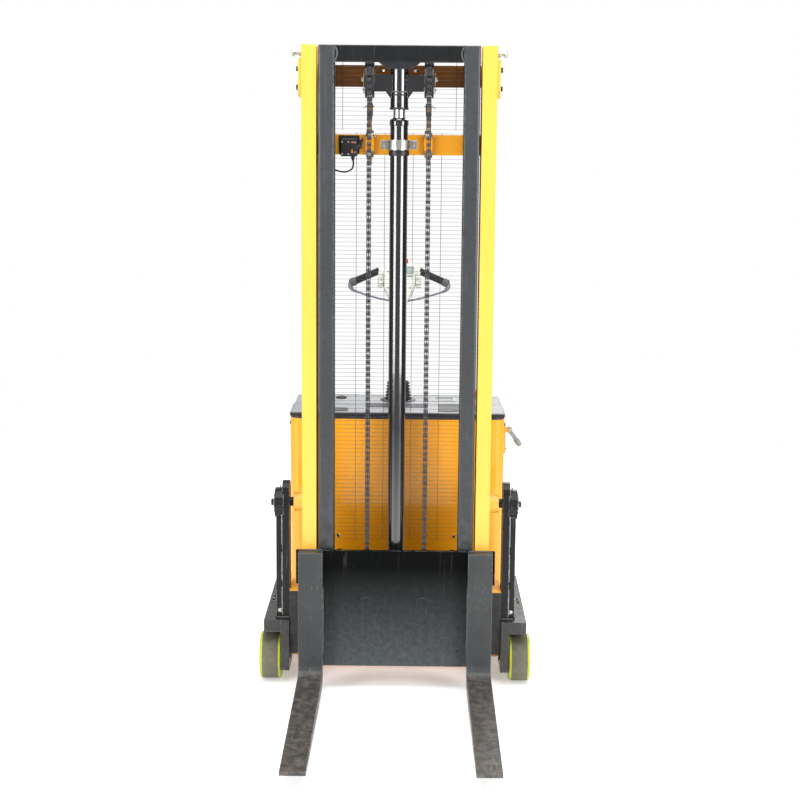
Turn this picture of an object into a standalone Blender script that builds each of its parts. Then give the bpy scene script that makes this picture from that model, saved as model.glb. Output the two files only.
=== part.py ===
"""Walkie stacker: two-stage mast on a straddle chassis with a rear drive unit and tiller.

Metres, +Z up. The forks point to -Y, the operator stands at +Y, and left is -X.
The origin is on the floor under the middle of the machine's length and width.
"""
import math

import bmesh
import bpy
from mathutils import Matrix, Vector

OBJECT_NAME = "walkie_stacker"
GAP = 0.0003                      # clearance between pieces that touch

# Mast
MAST_TOP = 2.010
MAST_FOOT = 0.095
MAST_FRONT = 0.055                # Y of the front flanges
FLANGE = 0.012
OUTER_X = (0.2500, 0.2945)        # inner and outer edge of an outer channel
OUTER_BACK = 0.165
INNER_X = (0.1965, 0.2437)        # inner and outer edge of an inner channel
INNER_BACK = 0.160
INNER_WEB = (0.2137, 0.2237)
GUARD_Y = (0.1835, 0.1865)
LIFT = 1.400                      # travel of the inner mast on the outer one

# Lift cylinder and chains
RAM_Y = 0.110
BARREL_R = 0.027
BARREL_TOP = 1.790
RAM_R = 0.018
SHEAVE_X = 0.090
SHEAVE_Z = 1.910
SHEAVE_R = 0.055
CHAIN_IN = 0.0388                 # inner and outer radius of the chain round a sheave
CHAIN_OUT = 0.0565
CHAIN_WIDTH = 0.014

# Carriage and forks
FORK_X = 0.266
FORK_LENGTH = 0.770
FORK_TOP = 0.060                  # Z of the blade's top face
SHANK_TOP = 0.456
SHANK_THICK = 0.035
PLATE_Y = (SHANK_THICK + GAP, SHANK_THICK + GAP + 0.012)
PLATE_FOOT = 0.078
ROLLER_Y = 0.1075
ROLLER_Z = 0.400

# Legs and load wheels
WHEEL_Y = 0.147
WHEEL_R = 0.075
WHEEL_X = (0.367, 0.435)
LEG_X = (0.339, 0.420)
LEG_PLATE_X = 0.366
LEG_FOOT = 0.040
LEG_TOP = 0.210
LEG_BACK = 0.620
PIN_Z = 0.586

# Chassis and covers
BODY_HALF = 0.354
BODY_FRONT = 0.340
BODY_BACK = 0.770
BODY_FOOT = 0.235
PANEL_TOP = 0.827
HOOD_TOP = 0.842
SIDE_Y = (0.400, 0.700)
LID_BACK = 0.505
DECK_BACK = 0.672                 # Y where the deck steps down to the tray behind it
TRAY_LEVELS = (0.800, 0.815)

# Drive unit, tiller and casters
DRIVE_Y = 0.585
DRIVE_R = 0.105
DECK_Z = (0.325, 0.337)
PIVOT_Z = 0.880
TILLER_LEAN = math.radians(11.6)
CASTER = Vector((0.250, 0.640, 0.0))
CASTER_TRAIL = 0.025
CASTER_R = 0.045
LEVER_PIVOT = Vector((0.3745, 0.450, 0.767))

COLOURS = {                       # colour, roughness, metallic
    "mast_yellow": ((0.98, 0.80, 0.07), 0.35, 0.0),
    "panel_yellow": ((0.93, 0.50, 0.03), 0.35, 0.0),
    "frame_black": ((0.035, 0.037, 0.040), 0.40, 0.0),
    "fork_black": ((0.060, 0.064, 0.066), 0.60, 0.0),
    "steel": ((0.62, 0.62, 0.60), 0.35, 1.0),
    "chrome": ((0.85, 0.86, 0.88), 0.08, 1.0),
    "chain_steel": ((0.10, 0.10, 0.10), 0.50, 1.0),
    "polyurethane": ((0.62, 0.70, 0.08), 0.50, 0.0),
    "hood_grey": ((0.60, 0.61, 0.63), 0.45, 0.0),
    "black_plastic": ((0.030, 0.030, 0.032), 0.50, 0.0),
    "cream_plastic": ((0.80, 0.82, 0.76), 0.45, 0.0),
    "rubber": ((0.025, 0.025, 0.025), 0.75, 0.0),
    "red_plastic": ((0.70, 0.03, 0.02), 0.35, 0.0),
    "grey_plastic": ((0.30, 0.31, 0.33), 0.50, 0.0),
    "aluminium": ((0.60, 0.61, 0.62), 0.40, 1.0),
}


# ---------------------------------------------------------------- helpers

def clear_scene():
    for obj in list(bpy.data.objects):
        bpy.data.objects.remove(obj, do_unlink=True)


def new_collection(name):
    collection = bpy.data.collections.new(name)
    bpy.context.scene.collection.children.link(collection)
    return collection


def material(slot):
    found = bpy.data.materials.get(slot)
    if found:
        return found
    colour, roughness, metallic = COLOURS[slot]
    made = bpy.data.materials.new(slot)
    made.use_nodes = True
    shader = made.node_tree.nodes["Principled BSDF"]
    shader.inputs["Base Color"].default_value = (*colour, 1.0)
    shader.inputs["Roughness"].default_value = roughness
    shader.inputs["Metallic"].default_value = metallic
    return made


def add_object(name, data, frame=None):
    """Link data as an object: a part, or a cutter that is hidden when name is None."""
    obj = bpy.data.objects.new(name or "cutter", data)
    obj.matrix_world = frame or Matrix()
    if name is None:
        CUTTERS.objects.link(obj)
        obj.hide_render = True
        obj.display_type = "WIRE"
    else:
        PARTS.objects.link(obj)
    return obj


def from_bmesh(name, bm, frame=None):
    bmesh.ops.recalc_face_normals(bm, faces=bm.faces)
    mesh = bpy.data.meshes.new(name or "cutter")
    bm.to_mesh(mesh)
    bm.free()
    return add_object(name, mesh, frame)


def box(name, low, high, frame=None):
    """A box between two corners; the corners may come in any order."""
    low, high = Vector(low), Vector(high)
    size = high - low
    middle = (low + high) / 2
    bm = bmesh.new()
    scale = Matrix.Diagonal((abs(size.x), abs(size.y), abs(size.z), 1.0))
    bmesh.ops.create_cube(bm, size=1.0, matrix=Matrix.Translation(middle) @ scale)
    return from_bmesh(name, bm, frame)


def side_box(name, side, x, y, z, frame=None):
    """A box whose X range is given for the right side and mirrored for the left."""
    return box(name, (side * x[0], y[0], z[0]), (side * x[1], y[1], z[1]), frame)


TURNS = {
    "X": Matrix.Rotation(math.pi / 2, 4, "Y"),
    "Y": Matrix.Rotation(-math.pi / 2, 4, "X"),
    "Z": Matrix(),
}


def rod(name, start, axis, length, radius, sides=24, frame=None):
    """A round bar from start along +X, +Y or +Z, or the other way for a negative length."""
    bm = bmesh.new()
    bmesh.ops.create_cone(bm, cap_ends=True, segments=sides, radius1=radius, radius2=radius,
                          depth=abs(length), matrix=TURNS[axis])
    unit = Vector(["XYZ".index(axis) == i for i in range(3)])
    bmesh.ops.translate(bm, verts=bm.verts, vec=Vector(start) + unit * length / 2)
    obj = from_bmesh(name, bm, frame)
    shade(obj)
    return obj


def fillet(corners, steps=4):
    """Points of an outline whose corners (a, b, radius) are rounded by arcs."""
    points = []
    for i, (a, b, radius) in enumerate(corners):
        corner = Vector((a, b))
        if not radius:
            points.append(corner)
            continue
        before = Vector(corners[i - 1][:2]) - corner
        after = Vector(corners[(i + 1) % len(corners)][:2]) - corner
        half = before.angle(after) / 2
        bisector = (before.normalized() + after.normalized()).normalized()
        centre = corner + bisector * radius / math.sin(half)
        first = corner + before.normalized() * radius / math.tan(half) - centre
        last = corner + after.normalized() * radius / math.tan(half) - centre
        sweep = first.angle_signed(last)
        for k in range(steps + 1):
            turn = -sweep * k / steps
            points.append(centre + Matrix.Rotation(turn, 2) @ first)
    return points


AXES = {                          # outline (a, b) and thickness c to X, Y, Z
    "XY": Matrix(((1, 0, 0, 0), (0, 1, 0, 0), (0, 0, 1, 0), (0, 0, 0, 1))),
    "YZ": Matrix(((0, 0, 1, 0), (1, 0, 0, 0), (0, 1, 0, 0), (0, 0, 0, 1))),
    "XZ": Matrix(((1, 0, 0, 0), (0, 0, 1, 0), (0, 1, 0, 0), (0, 0, 0, 1))),
}


def plate(name, outline, plane, levels, frame=None):
    """A flat outline in a plane, as thick as the two levels along the third axis."""
    curve = bpy.data.curves.new("outline", "CURVE")
    curve.dimensions = "2D"
    curve.fill_mode = "BOTH"
    curve.extrude = abs(levels[1] - levels[0]) / 2
    spline = curve.splines.new("POLY")
    spline.points.add(len(outline) - 1)
    for point, place in zip(spline.points, outline):
        point.co = (place[0], place[1], 0.0, 1.0)
    spline.use_cyclic_u = True
    return curve_to_mesh(name, curve, frame, AXES[plane], sum(levels) / 2)


def tube(name, points, radius, frame=None, sides=2):
    """A round bar along a path of points."""
    curve = bpy.data.curves.new("path", "CURVE")
    curve.dimensions = "3D"
    curve.bevel_depth = radius
    curve.bevel_resolution = sides
    curve.use_fill_caps = True
    spline = curve.splines.new("POLY")
    spline.points.add(len(points) - 1)
    for point, place in zip(spline.points, points):
        point.co = (*place, 1.0)
    return curve_to_mesh(name, curve, frame, Matrix(), 0.0)


def curve_to_mesh(name, curve, frame, axes, level):
    holder = bpy.data.objects.new("curve", curve)
    bpy.context.scene.collection.objects.link(holder)
    bpy.context.view_layer.update()
    depsgraph = bpy.context.evaluated_depsgraph_get()
    mesh = bpy.data.meshes.new_from_object(holder.evaluated_get(depsgraph))
    bpy.data.objects.remove(holder, do_unlink=True)
    bm = bmesh.new()
    bm.from_mesh(mesh)
    bmesh.ops.remove_doubles(bm, verts=bm.verts, dist=1e-6)
    bmesh.ops.translate(bm, verts=bm.verts, vec=(0.0, 0.0, level))
    bmesh.ops.transform(bm, matrix=axes, verts=bm.verts)
    return from_bmesh(name, bm, frame)


def turned(name, profile, centre, axis="Z", steps=24, frame=None):
    """A turned piece. Each profile point is (radius, distance along the axis from the centre)."""
    closed = profile[0] == profile[-1]
    bm = bmesh.new()
    verts = [bm.verts.new((radius, 0.0, height)) for radius, height in profile[:-1 if closed else None]]
    for first, second in zip(verts, verts[1:] + verts[:1] if closed else verts[1:]):
        bm.edges.new((first, second))
    mesh = bpy.data.meshes.new(name or "cutter")
    bm.to_mesh(mesh)
    bm.free()
    place = (frame or Matrix()) @ Matrix.Translation(centre) @ TURNS[axis]
    obj = add_object(name, mesh, place)
    screw = obj.modifiers.new("turn", "SCREW")
    screw.steps = screw.render_steps = steps
    screw.use_merge_vertices = True
    screw.merge_threshold = 1e-5
    return obj


def ring_profile(inner, outer, low, high):
    """A plain ring's section, closed, running down its outer side."""
    return [(inner, low), (inner, high), (outer, high), (outer, low), (inner, low)]


def boolean(target, operation, tools):
    for tool in tools:
        modifier = target.modifiers.new(operation.lower(), "BOOLEAN")
        modifier.operation = operation
        modifier.solver = "EXACT"
        modifier.object = tool
    return target


def fuse(target, *tools):
    return boolean(target, "UNION", tools)


def cut(target, *tools):
    return boolean(target, "DIFFERENCE", tools)


def bevel(obj, width, segments=2):
    modifier = obj.modifiers.new("round", "BEVEL")
    modifier.width = width
    modifier.segments = segments
    modifier.limit_method = "ANGLE"
    modifier.angle_limit = math.radians(40)
    return obj


def shade(obj):
    obj.data.shade_smooth()
    obj.data.set_sharp_from_angle(angle=math.radians(35))


def finish(obj, slot):
    obj.data.materials.clear()
    obj.data.materials.append(material(slot))
    return obj


def put_on_axis(joint, point, *pieces):
    """Parent the pieces of one moving body to an empty that stands on its joint."""
    empty = bpy.data.objects.new(joint + "_axis", None)
    PARTS.objects.link(empty)
    empty.location = point
    bpy.context.view_layer.update()
    for piece in pieces:
        piece.parent = empty
        piece.matrix_parent_inverse = empty.matrix_world.inverted()


def arc(centre, radius, start, end, steps):
    """Points on a circle, with the angles in degrees."""
    angles = [math.radians(start + (end - start) * i / steps) for i in range(steps + 1)]
    return [(centre[0] + radius * math.cos(a), centre[1] + radius * math.sin(a)) for a in angles]


def mirrored(side, outline):
    return [(side * point[0], *point[1:]) for point in outline]


SIDES = (("left", -1), ("right", 1))


# ---------------------------------------------------------------- mast

def outer_channel(word, side):
    """A C channel open to the inside, with its cheek plate, pin boss and foot bracket."""
    inner, outer = OUTER_X
    web = outer - 0.011
    front, back = MAST_FRONT, OUTER_BACK
    section = [(inner, front), (outer, front), (outer, back), (inner, back),
               (inner, back - FLANGE), (web, back - FLANGE), (web, front + FLANGE), (inner, front + FLANGE)]
    channel = plate("mast_channel_" + word, mirrored(side, section), "XY", (MAST_FOOT, MAST_TOP))
    cheek_outline = [(0.060, 1.878), (0.080, 1.855), (0.150, 1.855), (0.150, 1.970), (0.060, 1.970)]
    edge = side * outer
    cheek = plate(None, cheek_outline, "YZ", (edge - side * 0.004, edge + side * 0.0099))
    boss = rod(None, (edge - side * 0.004, WHEEL_Y, PIN_Z), "X", side * 0.0354, 0.030)
    foot = side_box(None, side, (outer - 0.004, 0.3384), (0.100, 0.2397), (MAST_FOOT + 0.002, 0.305))
    return finish(fuse(channel, cheek, boss, foot), "mast_yellow")


def mast_crossmembers():
    outer = OUTER_X[1]
    back = OUTER_BACK + GAP
    bar = (0.188, 0.200)
    pad = outer - 0.013
    outline = [(-outer, back), (-pad, back), (-pad, bar[0]), (pad, bar[0]), (pad, back),
               (outer, back), (outer, bar[1]), (-outer, bar[1])]
    finish(plate("crossmember_top", outline, "XY", (1.889, 1.955)), "mast_yellow")
    middle = box("crossmember_mid", (-outer, back, 1.683), (outer, 0.179, 1.745))
    anchors = []
    anchor_y = RAM_Y + (CHAIN_IN + CHAIN_OUT) / 2
    for _, side in SIDES:
        x = side * SHEAVE_X
        anchors.append(box(None, (x - 0.013, 0.1485, 1.695), (x + 0.013, 0.172, 1.737)))
        anchors.append(rod(None, (x, anchor_y, 1.655), "Z", 0.175, 0.007, 12))
    finish(fuse(middle, *anchors), "panel_yellow")


def mast_guard():
    finish(box("mast_guard", (-0.279, GUARD_Y[0], 0.450), (0.279, GUARD_Y[1], 1.970)), "frame_black")


def lift_cylinder():
    """A barrel with a gland neck, on a base plate between the outer channels."""
    bore, neck = 0.022, 0.0184
    floor, neck_foot = MAST_FOOT + 0.030, 1.740
    profile = [(0.0, floor), (bore, floor), (bore, neck_foot), (neck, neck_foot), (neck, BARREL_TOP),
               (BARREL_R, BARREL_TOP), (BARREL_R, MAST_FOOT + 0.007), (0.0, MAST_FOOT + 0.007)]
    barrel = turned("lift_cylinder", profile, (0.0, RAM_Y, 0.0))
    base = box(None, (-0.2832, 0.0675, MAST_FOOT), (0.2832, 0.1525, MAST_FOOT + 0.015))
    finish(fuse(barrel, base), "frame_black")


def cylinder_clamp():
    """A two-eared strap round the barrel, with a pad back to the middle crossmember."""
    low, high = 1.700, 1.730
    clamp = rod("cylinder_clamp", (0.0, RAM_Y, low), "Z", high - low, 0.036)
    ears = box(None, (-0.056, RAM_Y - 0.004, low + 0.002), (0.056, RAM_Y + 0.012, high - 0.002))
    pad = box(None, (-0.026, RAM_Y + 0.010, low + 0.004), (0.026, OUTER_BACK, high - 0.004))
    hole = rod(None, (0.0, RAM_Y, low - 0.01), "Z", high - low + 0.02, BARREL_R + 0.0006)
    finish(cut(fuse(clamp, ears, pad), hole), "steel")


def limit_switch():
    switch = box("limit_switch", (-0.180, 0.140, 1.678), (-0.128, OUTER_BACK, 1.733))
    finish(bevel(switch, 0.003, 1), "black_plastic")


def inner_channel(word, side):
    """An H section: its inner recess holds the carriage rollers."""
    inner, outer = INNER_X
    front, back = MAST_FRONT, INNER_BACK
    section = [(inner, front, 0.002), (outer, front, 0.007), (outer, front + FLANGE, 0.0),
               (INNER_WEB[1], front + FLANGE, 0.0), (INNER_WEB[1], back - FLANGE, 0.0),
               (outer, back - FLANGE, 0.0), (outer, back, 0.0), (inner, back, 0.0),
               (inner, back - FLANGE, 0.0), (INNER_WEB[0], back - FLANGE, 0.0),
               (INNER_WEB[0], front + FLANGE, 0.0), (inner, front + FLANGE, 0.0)]
    outline = fillet(mirrored(side, section))
    return finish(plate("inner_channel_" + word, outline, "XY", (MAST_FOOT + 0.0155, MAST_TOP)), "frame_black")


def inner_crosshead():
    half = INNER_X[0] - GAP
    bar = box("inner_crosshead", (-half, MAST_FRONT, 1.960), (half, 0.080, MAST_TOP))
    return finish(bevel(bar, 0.003), "frame_black")


def lift_ram():
    profile = [(0.0, 1.8995), (RAM_R, 1.8995), (RAM_R, 0.250), (0.0215, 0.250), (0.0215, 0.220), (0.0, 0.220)]
    return finish(turned("lift_ram", profile, (0.0, RAM_Y, 0.0)), "chrome")


def sheave_carrier():
    """The sleeve over the ram's end, its seat plate and the crossbar with the sheave axles."""
    sleeve = rod("sheave_carrier", (0.0, RAM_Y, 1.820), "Z", 0.130, BARREL_R)
    bar = box(None, (-0.0745, RAM_Y - 0.017, 1.874), (0.0745, RAM_Y + 0.017, 1.924))
    web_outline = [(-0.046, 1.880), (-0.020, 1.845), (0.020, 1.845), (0.046, 1.880)]
    web = plate(None, web_outline, "XZ", (RAM_Y - 0.008, RAM_Y + 0.008))
    seat_outline = [(-0.062, 1.9597), (-0.034, 1.940), (0.034, 1.940), (0.062, 1.9597)]
    seat = plate(None, seat_outline, "XZ", (0.0575, 0.140))
    axles = [rod(None, (side * 0.060, RAM_Y, SHEAVE_Z), "X", side * 0.0465, 0.010, 16) for _, side in SIDES]
    socket = rod(None, (0.0, RAM_Y, 1.810), "Z", 0.090, RAM_R + 0.0005)
    return finish(cut(fuse(sleeve, bar, web, seat, *axles), socket), "frame_black")


def sheave(word, side):
    """A grooved wheel on a plain bore."""
    bore, root = 0.0104, 0.0380
    half, groove = 0.014, 0.0078
    profile = [(bore, -half), (bore, half), (SHEAVE_R, half), (SHEAVE_R, groove), (root, groove),
               (root, -groove), (SHEAVE_R, -groove), (SHEAVE_R, -half), (bore, -half)]
    return finish(turned("sheave_" + word, profile, (side * SHEAVE_X, RAM_Y, SHEAVE_Z), "X", 28), "steel")


def lift_chain(word, side):
    """One chain: up from the carriage, over the sheave, and down to its anchor on the mast."""
    centre = (RAM_Y, SHEAVE_Z)
    foot, rear_foot = 0.4403, 1.8303
    outline = [(RAM_Y - CHAIN_OUT, foot)]
    outline += arc(centre, CHAIN_OUT, 180, 0, 16)
    outline += [(RAM_Y + CHAIN_OUT, rear_foot), (RAM_Y + CHAIN_IN, rear_foot)]
    outline += arc(centre, CHAIN_IN, 0, 180, 16)
    outline += [(RAM_Y - CHAIN_IN, foot)]
    x = side * SHEAVE_X
    levels = (x - CHAIN_WIDTH / 2, x + CHAIN_WIDTH / 2)
    return finish(plate("lift_chain_" + word, outline, "YZ", levels), "chain_steel")


# ---------------------------------------------------------------- carriage

def carriage_plate():
    """A T-shaped plate with the two chain lugs on its back."""
    low, high, step, slope = 0.295, 0.313, 0.340, 0.008
    outline = [(-low, PLATE_FOOT), (low, PLATE_FOOT), (low, step), (high, step + slope),
               (high, SHANK_TOP), (-high, SHANK_TOP), (-high, step + slope), (-low, step)]
    face = plate("carriage_plate", outline, "XZ", PLATE_Y)
    lugs = [box(None, (side * SHEAVE_X - 0.011, PLATE_Y[1] - 0.004, 0.385),
                (side * SHEAVE_X + 0.011, 0.0725, 0.440)) for _, side in SIDES]
    return finish(fuse(face, *lugs), "frame_black")


def carriage_side(word, side):
    """A side plate behind the carriage, with the stub shafts of its rollers."""
    front, back = PLATE_Y[1] + GAP, 0.135
    outline = fillet([(front, 0.118, 0.0), (back, 0.118, 0.020), (back, 0.440, 0.020), (front, 0.440, 0.0)])
    web = plate("carriage_side_" + word, outline, "YZ", (side * 0.172, side * 0.186))
    stubs = [rod(None, (side * 0.180, ROLLER_Y, z), "X", side * 0.0325, 0.0122, 16)
             for z in (0.160, ROLLER_Z)]
    return finish(fuse(web, *stubs), "frame_black")


def carriage_roller(word, side):
    profile = ring_profile(0.0130, 0.0395, -0.0085, 0.0085)
    centre = (side * 0.203, ROLLER_Y, ROLLER_Z)
    return finish(turned("carriage_roller_" + word, profile, centre, "X"), "steel")


def fork(word, side):
    """An L-shaped fork, rounded at the heel, whose blade thins and narrows to the tip."""
    back = SHANK_THICK
    profile = fillet([(back, SHANK_TOP, 0.004), (0.0, SHANK_TOP, 0.004), (0.0, FORK_TOP, 0.034),
                      (-FORK_LENGTH, FORK_TOP, 0.004), (-FORK_LENGTH, 0.048, 0.004),
                      (-0.200, 0.022, 0.0), (back, 0.022, 0.050)], 5)
    blade = plate("fork_" + word, profile, "YZ", (-0.040, 0.040))
    for vertex in blade.data.vertices:
        tip_share = max(0.0, -vertex.co.y / FORK_LENGTH)
        vertex.co.x *= 0.955 - 0.050 * tip_share
    blade.location.x = side * FORK_X
    return finish(blade, "fork_black")


# ---------------------------------------------------------------- legs and wheels

def leg(word, side):
    """A straddle leg: wheel bracket at the front, box beam behind, and the wheel's axle."""
    inner, outer = LEG_X
    bracket_outline = fillet([(0.082, LEG_FOOT, 0.010), (0.300, LEG_FOOT, 0.0), (0.300, LEG_TOP, 0.0),
                              (0.082, LEG_TOP, 0.004)])
    bracket = plate("leg_" + word, bracket_outline, "YZ", (side * inner, side * LEG_PLATE_X))
    cap = side_box(None, side, (inner + 0.0008, outer), (0.085, 0.300), (0.172, LEG_TOP - 0.0005))
    beam = side_box(None, side, (inner, outer), (0.238, LEG_BACK), (LEG_FOOT, LEG_TOP))
    axle = rod(None, (side * 0.350, WHEEL_Y, WHEEL_R), "X", side * 0.076, 0.0125)
    return finish(fuse(bracket, cap, beam, axle), "frame_black")


def tyred_profile(bore, rim, tread, half):
    """Half a section of a wheel whose hub is recessed on both faces and whose tread edges are chamfered."""
    edge, sunk = 0.004, half - 0.008
    return [(bore, -sunk), (bore, sunk), (rim, sunk), (rim, half), (tread - edge, half), (tread, half - edge),
            (tread, -half + edge), (tread - edge, -half), (rim, -half), (rim, -sunk), (bore, -sunk)]


def load_wheel(word, side):
    half = (WHEEL_X[1] - WHEEL_X[0]) / 2
    profile = tyred_profile(0.0135, 0.052, WHEEL_R, half)
    centre = (side * (WHEEL_X[0] + half), WHEEL_Y, WHEEL_R)
    return finish(turned("load_wheel_" + word, profile, centre, "X", 32), "polyurethane")


def mast_post(word, side):
    """The post on the leg: a round-topped inner plate, an outer plate, a boss and the cross pin."""
    foot = LEG_TOP + GAP
    inner = fillet([(0.112, foot, 0.0), (0.182, foot, 0.0), (0.182, 0.655, 0.034), (0.112, 0.655, 0.034)], 6)
    post = plate("mast_post_" + word, inner, "YZ", (side * 0.339, side * 0.362))
    outer = side_box(None, side, (0.358, 0.382), (0.117, 0.177), (foot + 0.001, 0.560))
    boss = rod(None, (side * 0.358, WHEEL_Y, 0.5835), "X", side * 0.028, 0.0475)
    pin = rod(None, (side * 0.3262, WHEEL_Y, PIN_Z), "X", side * 0.030, 0.0145)
    return finish(fuse(post, outer, boss, pin), "frame_black")


# ---------------------------------------------------------------- chassis

def chassis_beam():
    half = LEG_X[0] - GAP
    beam = box("chassis_beam", (-half, 0.240, LEG_FOOT + 0.002), (half, 0.345, LEG_TOP))
    finish(bevel(beam, 0.003, 1), "panel_yellow")


def battery_tray(word, side):
    """An L-shaped tray that rests on the leg and the beam and walls off the drive bay."""
    floor = LEG_TOP + GAP
    section = [(0.146, floor), (0.349, floor), (0.349, floor + 0.008), (0.154, floor + 0.008),
               (0.154, DECK_Z[1]), (0.146, DECK_Z[1])]
    tray = plate("battery_tray_" + word, mirrored(side, section), "XZ", (0.346, 0.698))
    finish(tray, "frame_black")


def drive_deck():
    deck = box("drive_deck", (-0.1457, 0.470, DECK_Z[0]), (0.1457, 0.698, DECK_Z[1]))
    hole = rod(None, (0.0, DRIVE_Y, DECK_Z[0] - 0.01), "Z", 0.032, 0.062, 32)
    finish(cut(deck, hole), "frame_black")


def shell_outline(front, back, corner, wall):
    """A C-shaped wall, open to +Y when front < back and to -Y otherwise."""
    way = 1 if back > front else -1
    outer = [(-BODY_HALF, back, 0.0), (-BODY_HALF, front, corner),
             (BODY_HALF, front, corner), (BODY_HALF, back, 0.0)]
    inside = BODY_HALF - wall
    inner = [(inside, back, 0.0), (inside, front + way * wall, corner - wall),
             (-inside, front + way * wall, corner - wall), (-inside, back, 0.0)]
    return fillet(outer + inner, 5)


def lever_bracket(panel):
    """A pad with two round-ended ears on the right side panel, for the disconnect lever."""
    x, y, z = LEVER_PIVOT
    pad = box(None, (BODY_HALF - 0.002, y - 0.015, 0.690), (BODY_HALF + 0.008, y + 0.015, 0.785))
    fuse(panel, pad)
    for way in (-1, 1):
        near, far = y + way * 0.0070, y + way * 0.0140
        arm = box(None, (BODY_HALF + 0.004, near, z - 0.0060), (x, far, z + 0.0060))
        fuse(panel, arm, rod(None, (x, near, z), "Y", far - near, 0.0075, 16))


def body_covers():
    front = shell_outline(BODY_FRONT, SIDE_Y[0] - GAP, 0.040, 0.004)
    finish(plate("front_panel", front, "XY", (BODY_FOOT, PANEL_TOP)), "panel_yellow")
    for word, side in SIDES:
        name = "side_panel_" + word
        panel = side_box(name, side, (BODY_HALF - 0.004, BODY_HALF), SIDE_Y, (BODY_FOOT, PANEL_TOP))
        if side > 0:
            lever_bracket(panel)
        finish(panel, "panel_yellow")
    rear = shell_outline(BODY_BACK, SIDE_Y[1] + GAP, 0.060, 0.005)
    finish(plate("rear_cover", rear, "XY", (0.140, PANEL_TOP)), "panel_yellow")


def hood_deck():
    """The rear deck, with the tiller's hole and the bosses of the stop button and the key.

    Behind DECK_BACK it steps down to a shallow tray inside the rear cover.
    """
    half, back = BODY_HALF - 0.0055, BODY_BACK - 0.0055
    outline = fillet([(-half, LID_BACK + 0.0005, 0.0), (half, LID_BACK + 0.0005, 0.0),
                      (half, back, 0.0545), (-half, back, 0.0545)], 5)
    low, wall = PANEL_TOP + GAP, 0.012
    section = [(LID_BACK, low), (DECK_BACK - wall, low), (DECK_BACK - wall, TRAY_LEVELS[0]),
               (BODY_BACK, TRAY_LEVELS[0]), (BODY_BACK, TRAY_LEVELS[1]), (DECK_BACK, TRAY_LEVELS[1]),
               (DECK_BACK, HOOD_TOP), (LID_BACK, HOOD_TOP)]
    deck = plate("hood_deck", section, "YZ", (-BODY_HALF, BODY_HALF))
    boolean(deck, "INTERSECT", [plate(None, outline, "XY", (TRAY_LEVELS[0] - 0.01, HOOD_TOP + 0.01))])
    stop = rod(None, (0.255, 0.600, 0.835), "Z", 0.015, 0.026)
    lock = rod(None, (-0.255, 0.600, 0.835), "Z", 0.012, 0.016)
    column = rod(None, (0.0, DRIVE_Y, 0.80), "Z", 0.08, 0.036, 32)
    stop_hole = rod(None, (0.255, 0.600, 0.80), "Z", 0.08, 0.0090, 16)
    lock_hole = rod(None, (-0.255, 0.600, 0.80), "Z", 0.08, 0.0068, 16)
    finish(cut(fuse(deck, stop, lock), column, stop_hole, lock_hole), "hood_grey")


def battery_lid():
    lid = box("battery_lid", (-BODY_HALF, BODY_FRONT, PANEL_TOP + GAP), (BODY_HALF, LID_BACK, HOOD_TOP))
    return finish(bevel(lid, 0.004), "hood_grey")


def battery_pack():
    floor = LEG_TOP + 0.0085
    pack = box("battery_pack", (-0.335, 0.360, floor), (-0.158, 0.690, 0.600))
    posts = [rod(None, (-0.2465, y, 0.595), "Z", 0.020, 0.010, 12) for y in (0.400, 0.650)]
    finish(fuse(bevel(pack, 0.006, 1), *posts), "black_plastic")


def power_unit():
    """The pump motor and the oil tank on one manifold block and foot plate."""
    foot = LEG_TOP + GAP
    block = box("power_unit", (-0.130, 0.362, 0.222), (0.130, 0.457, 0.290))
    sole = box(None, (-0.135, 0.290, foot), (0.135, 0.458, 0.228))
    motor = rod(None, (-0.075, 0.410, 0.285), "Z", 0.205, 0.045)
    tank = bevel(box(None, (-0.015, 0.364, 0.285), (0.128, 0.456, 0.520)), 0.006, 1)
    finish(fuse(block, sole, motor, tank), "frame_black")


def motor_controller():
    floor = LEG_TOP + 0.0085
    case = box("motor_controller", (0.165, 0.400, floor), (0.330, 0.620, 0.290))
    fins = [box(None, (0.175 + 0.024 * i, 0.405, 0.285), (0.181 + 0.024 * i, 0.615, 0.325)) for i in range(7)]
    finish(fuse(case, *fins), "aluminium")


# ---------------------------------------------------------------- drive unit and casters

def drive_unit():
    """Gearbox, motor and steering column as one steered unit, with the wheel's axle."""
    block = rod("drive_unit", (0.0, DRIVE_Y, 0.235), "Z", 0.085, 0.085, 32)
    case = bevel(box(None, (0.0385, DRIVE_Y - 0.060, 0.055), (0.075, DRIVE_Y + 0.060, 0.260)), 0.012)
    neck = rod(None, (0.0, DRIVE_Y, 0.310), "Z", 0.040, 0.060, 32)
    motor = rod(None, (0.0, DRIVE_Y, 0.345), "Z", 0.215, 0.075, 32)
    column = rod(None, (0.0, DRIVE_Y, 0.550), "Z", 0.302, 0.028)
    ears = box(None, (-0.028, DRIVE_Y - 0.013, 0.845), (0.028, DRIVE_Y + 0.013, 0.895))
    slot = box(None, (-0.0205, DRIVE_Y - 0.04, 0.8525), (0.0205, DRIVE_Y + 0.04, 0.91))
    pin = rod(None, (-0.0275, DRIVE_Y, PIVOT_Z), "X", 0.055, 0.0070, 16)
    axle = rod(None, (-0.033, DRIVE_Y, DRIVE_R), "X", 0.080, 0.0150)
    unit = cut(fuse(block, case, neck, motor, column, ears), slot)
    return finish(fuse(unit, pin, axle), "frame_black")


def drive_wheel():
    profile = tyred_profile(0.0158, 0.078, DRIVE_R, 0.035)
    return finish(turned("drive_wheel", profile, (0.0, DRIVE_Y, DRIVE_R), "X", 32), "polyurethane")


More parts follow.
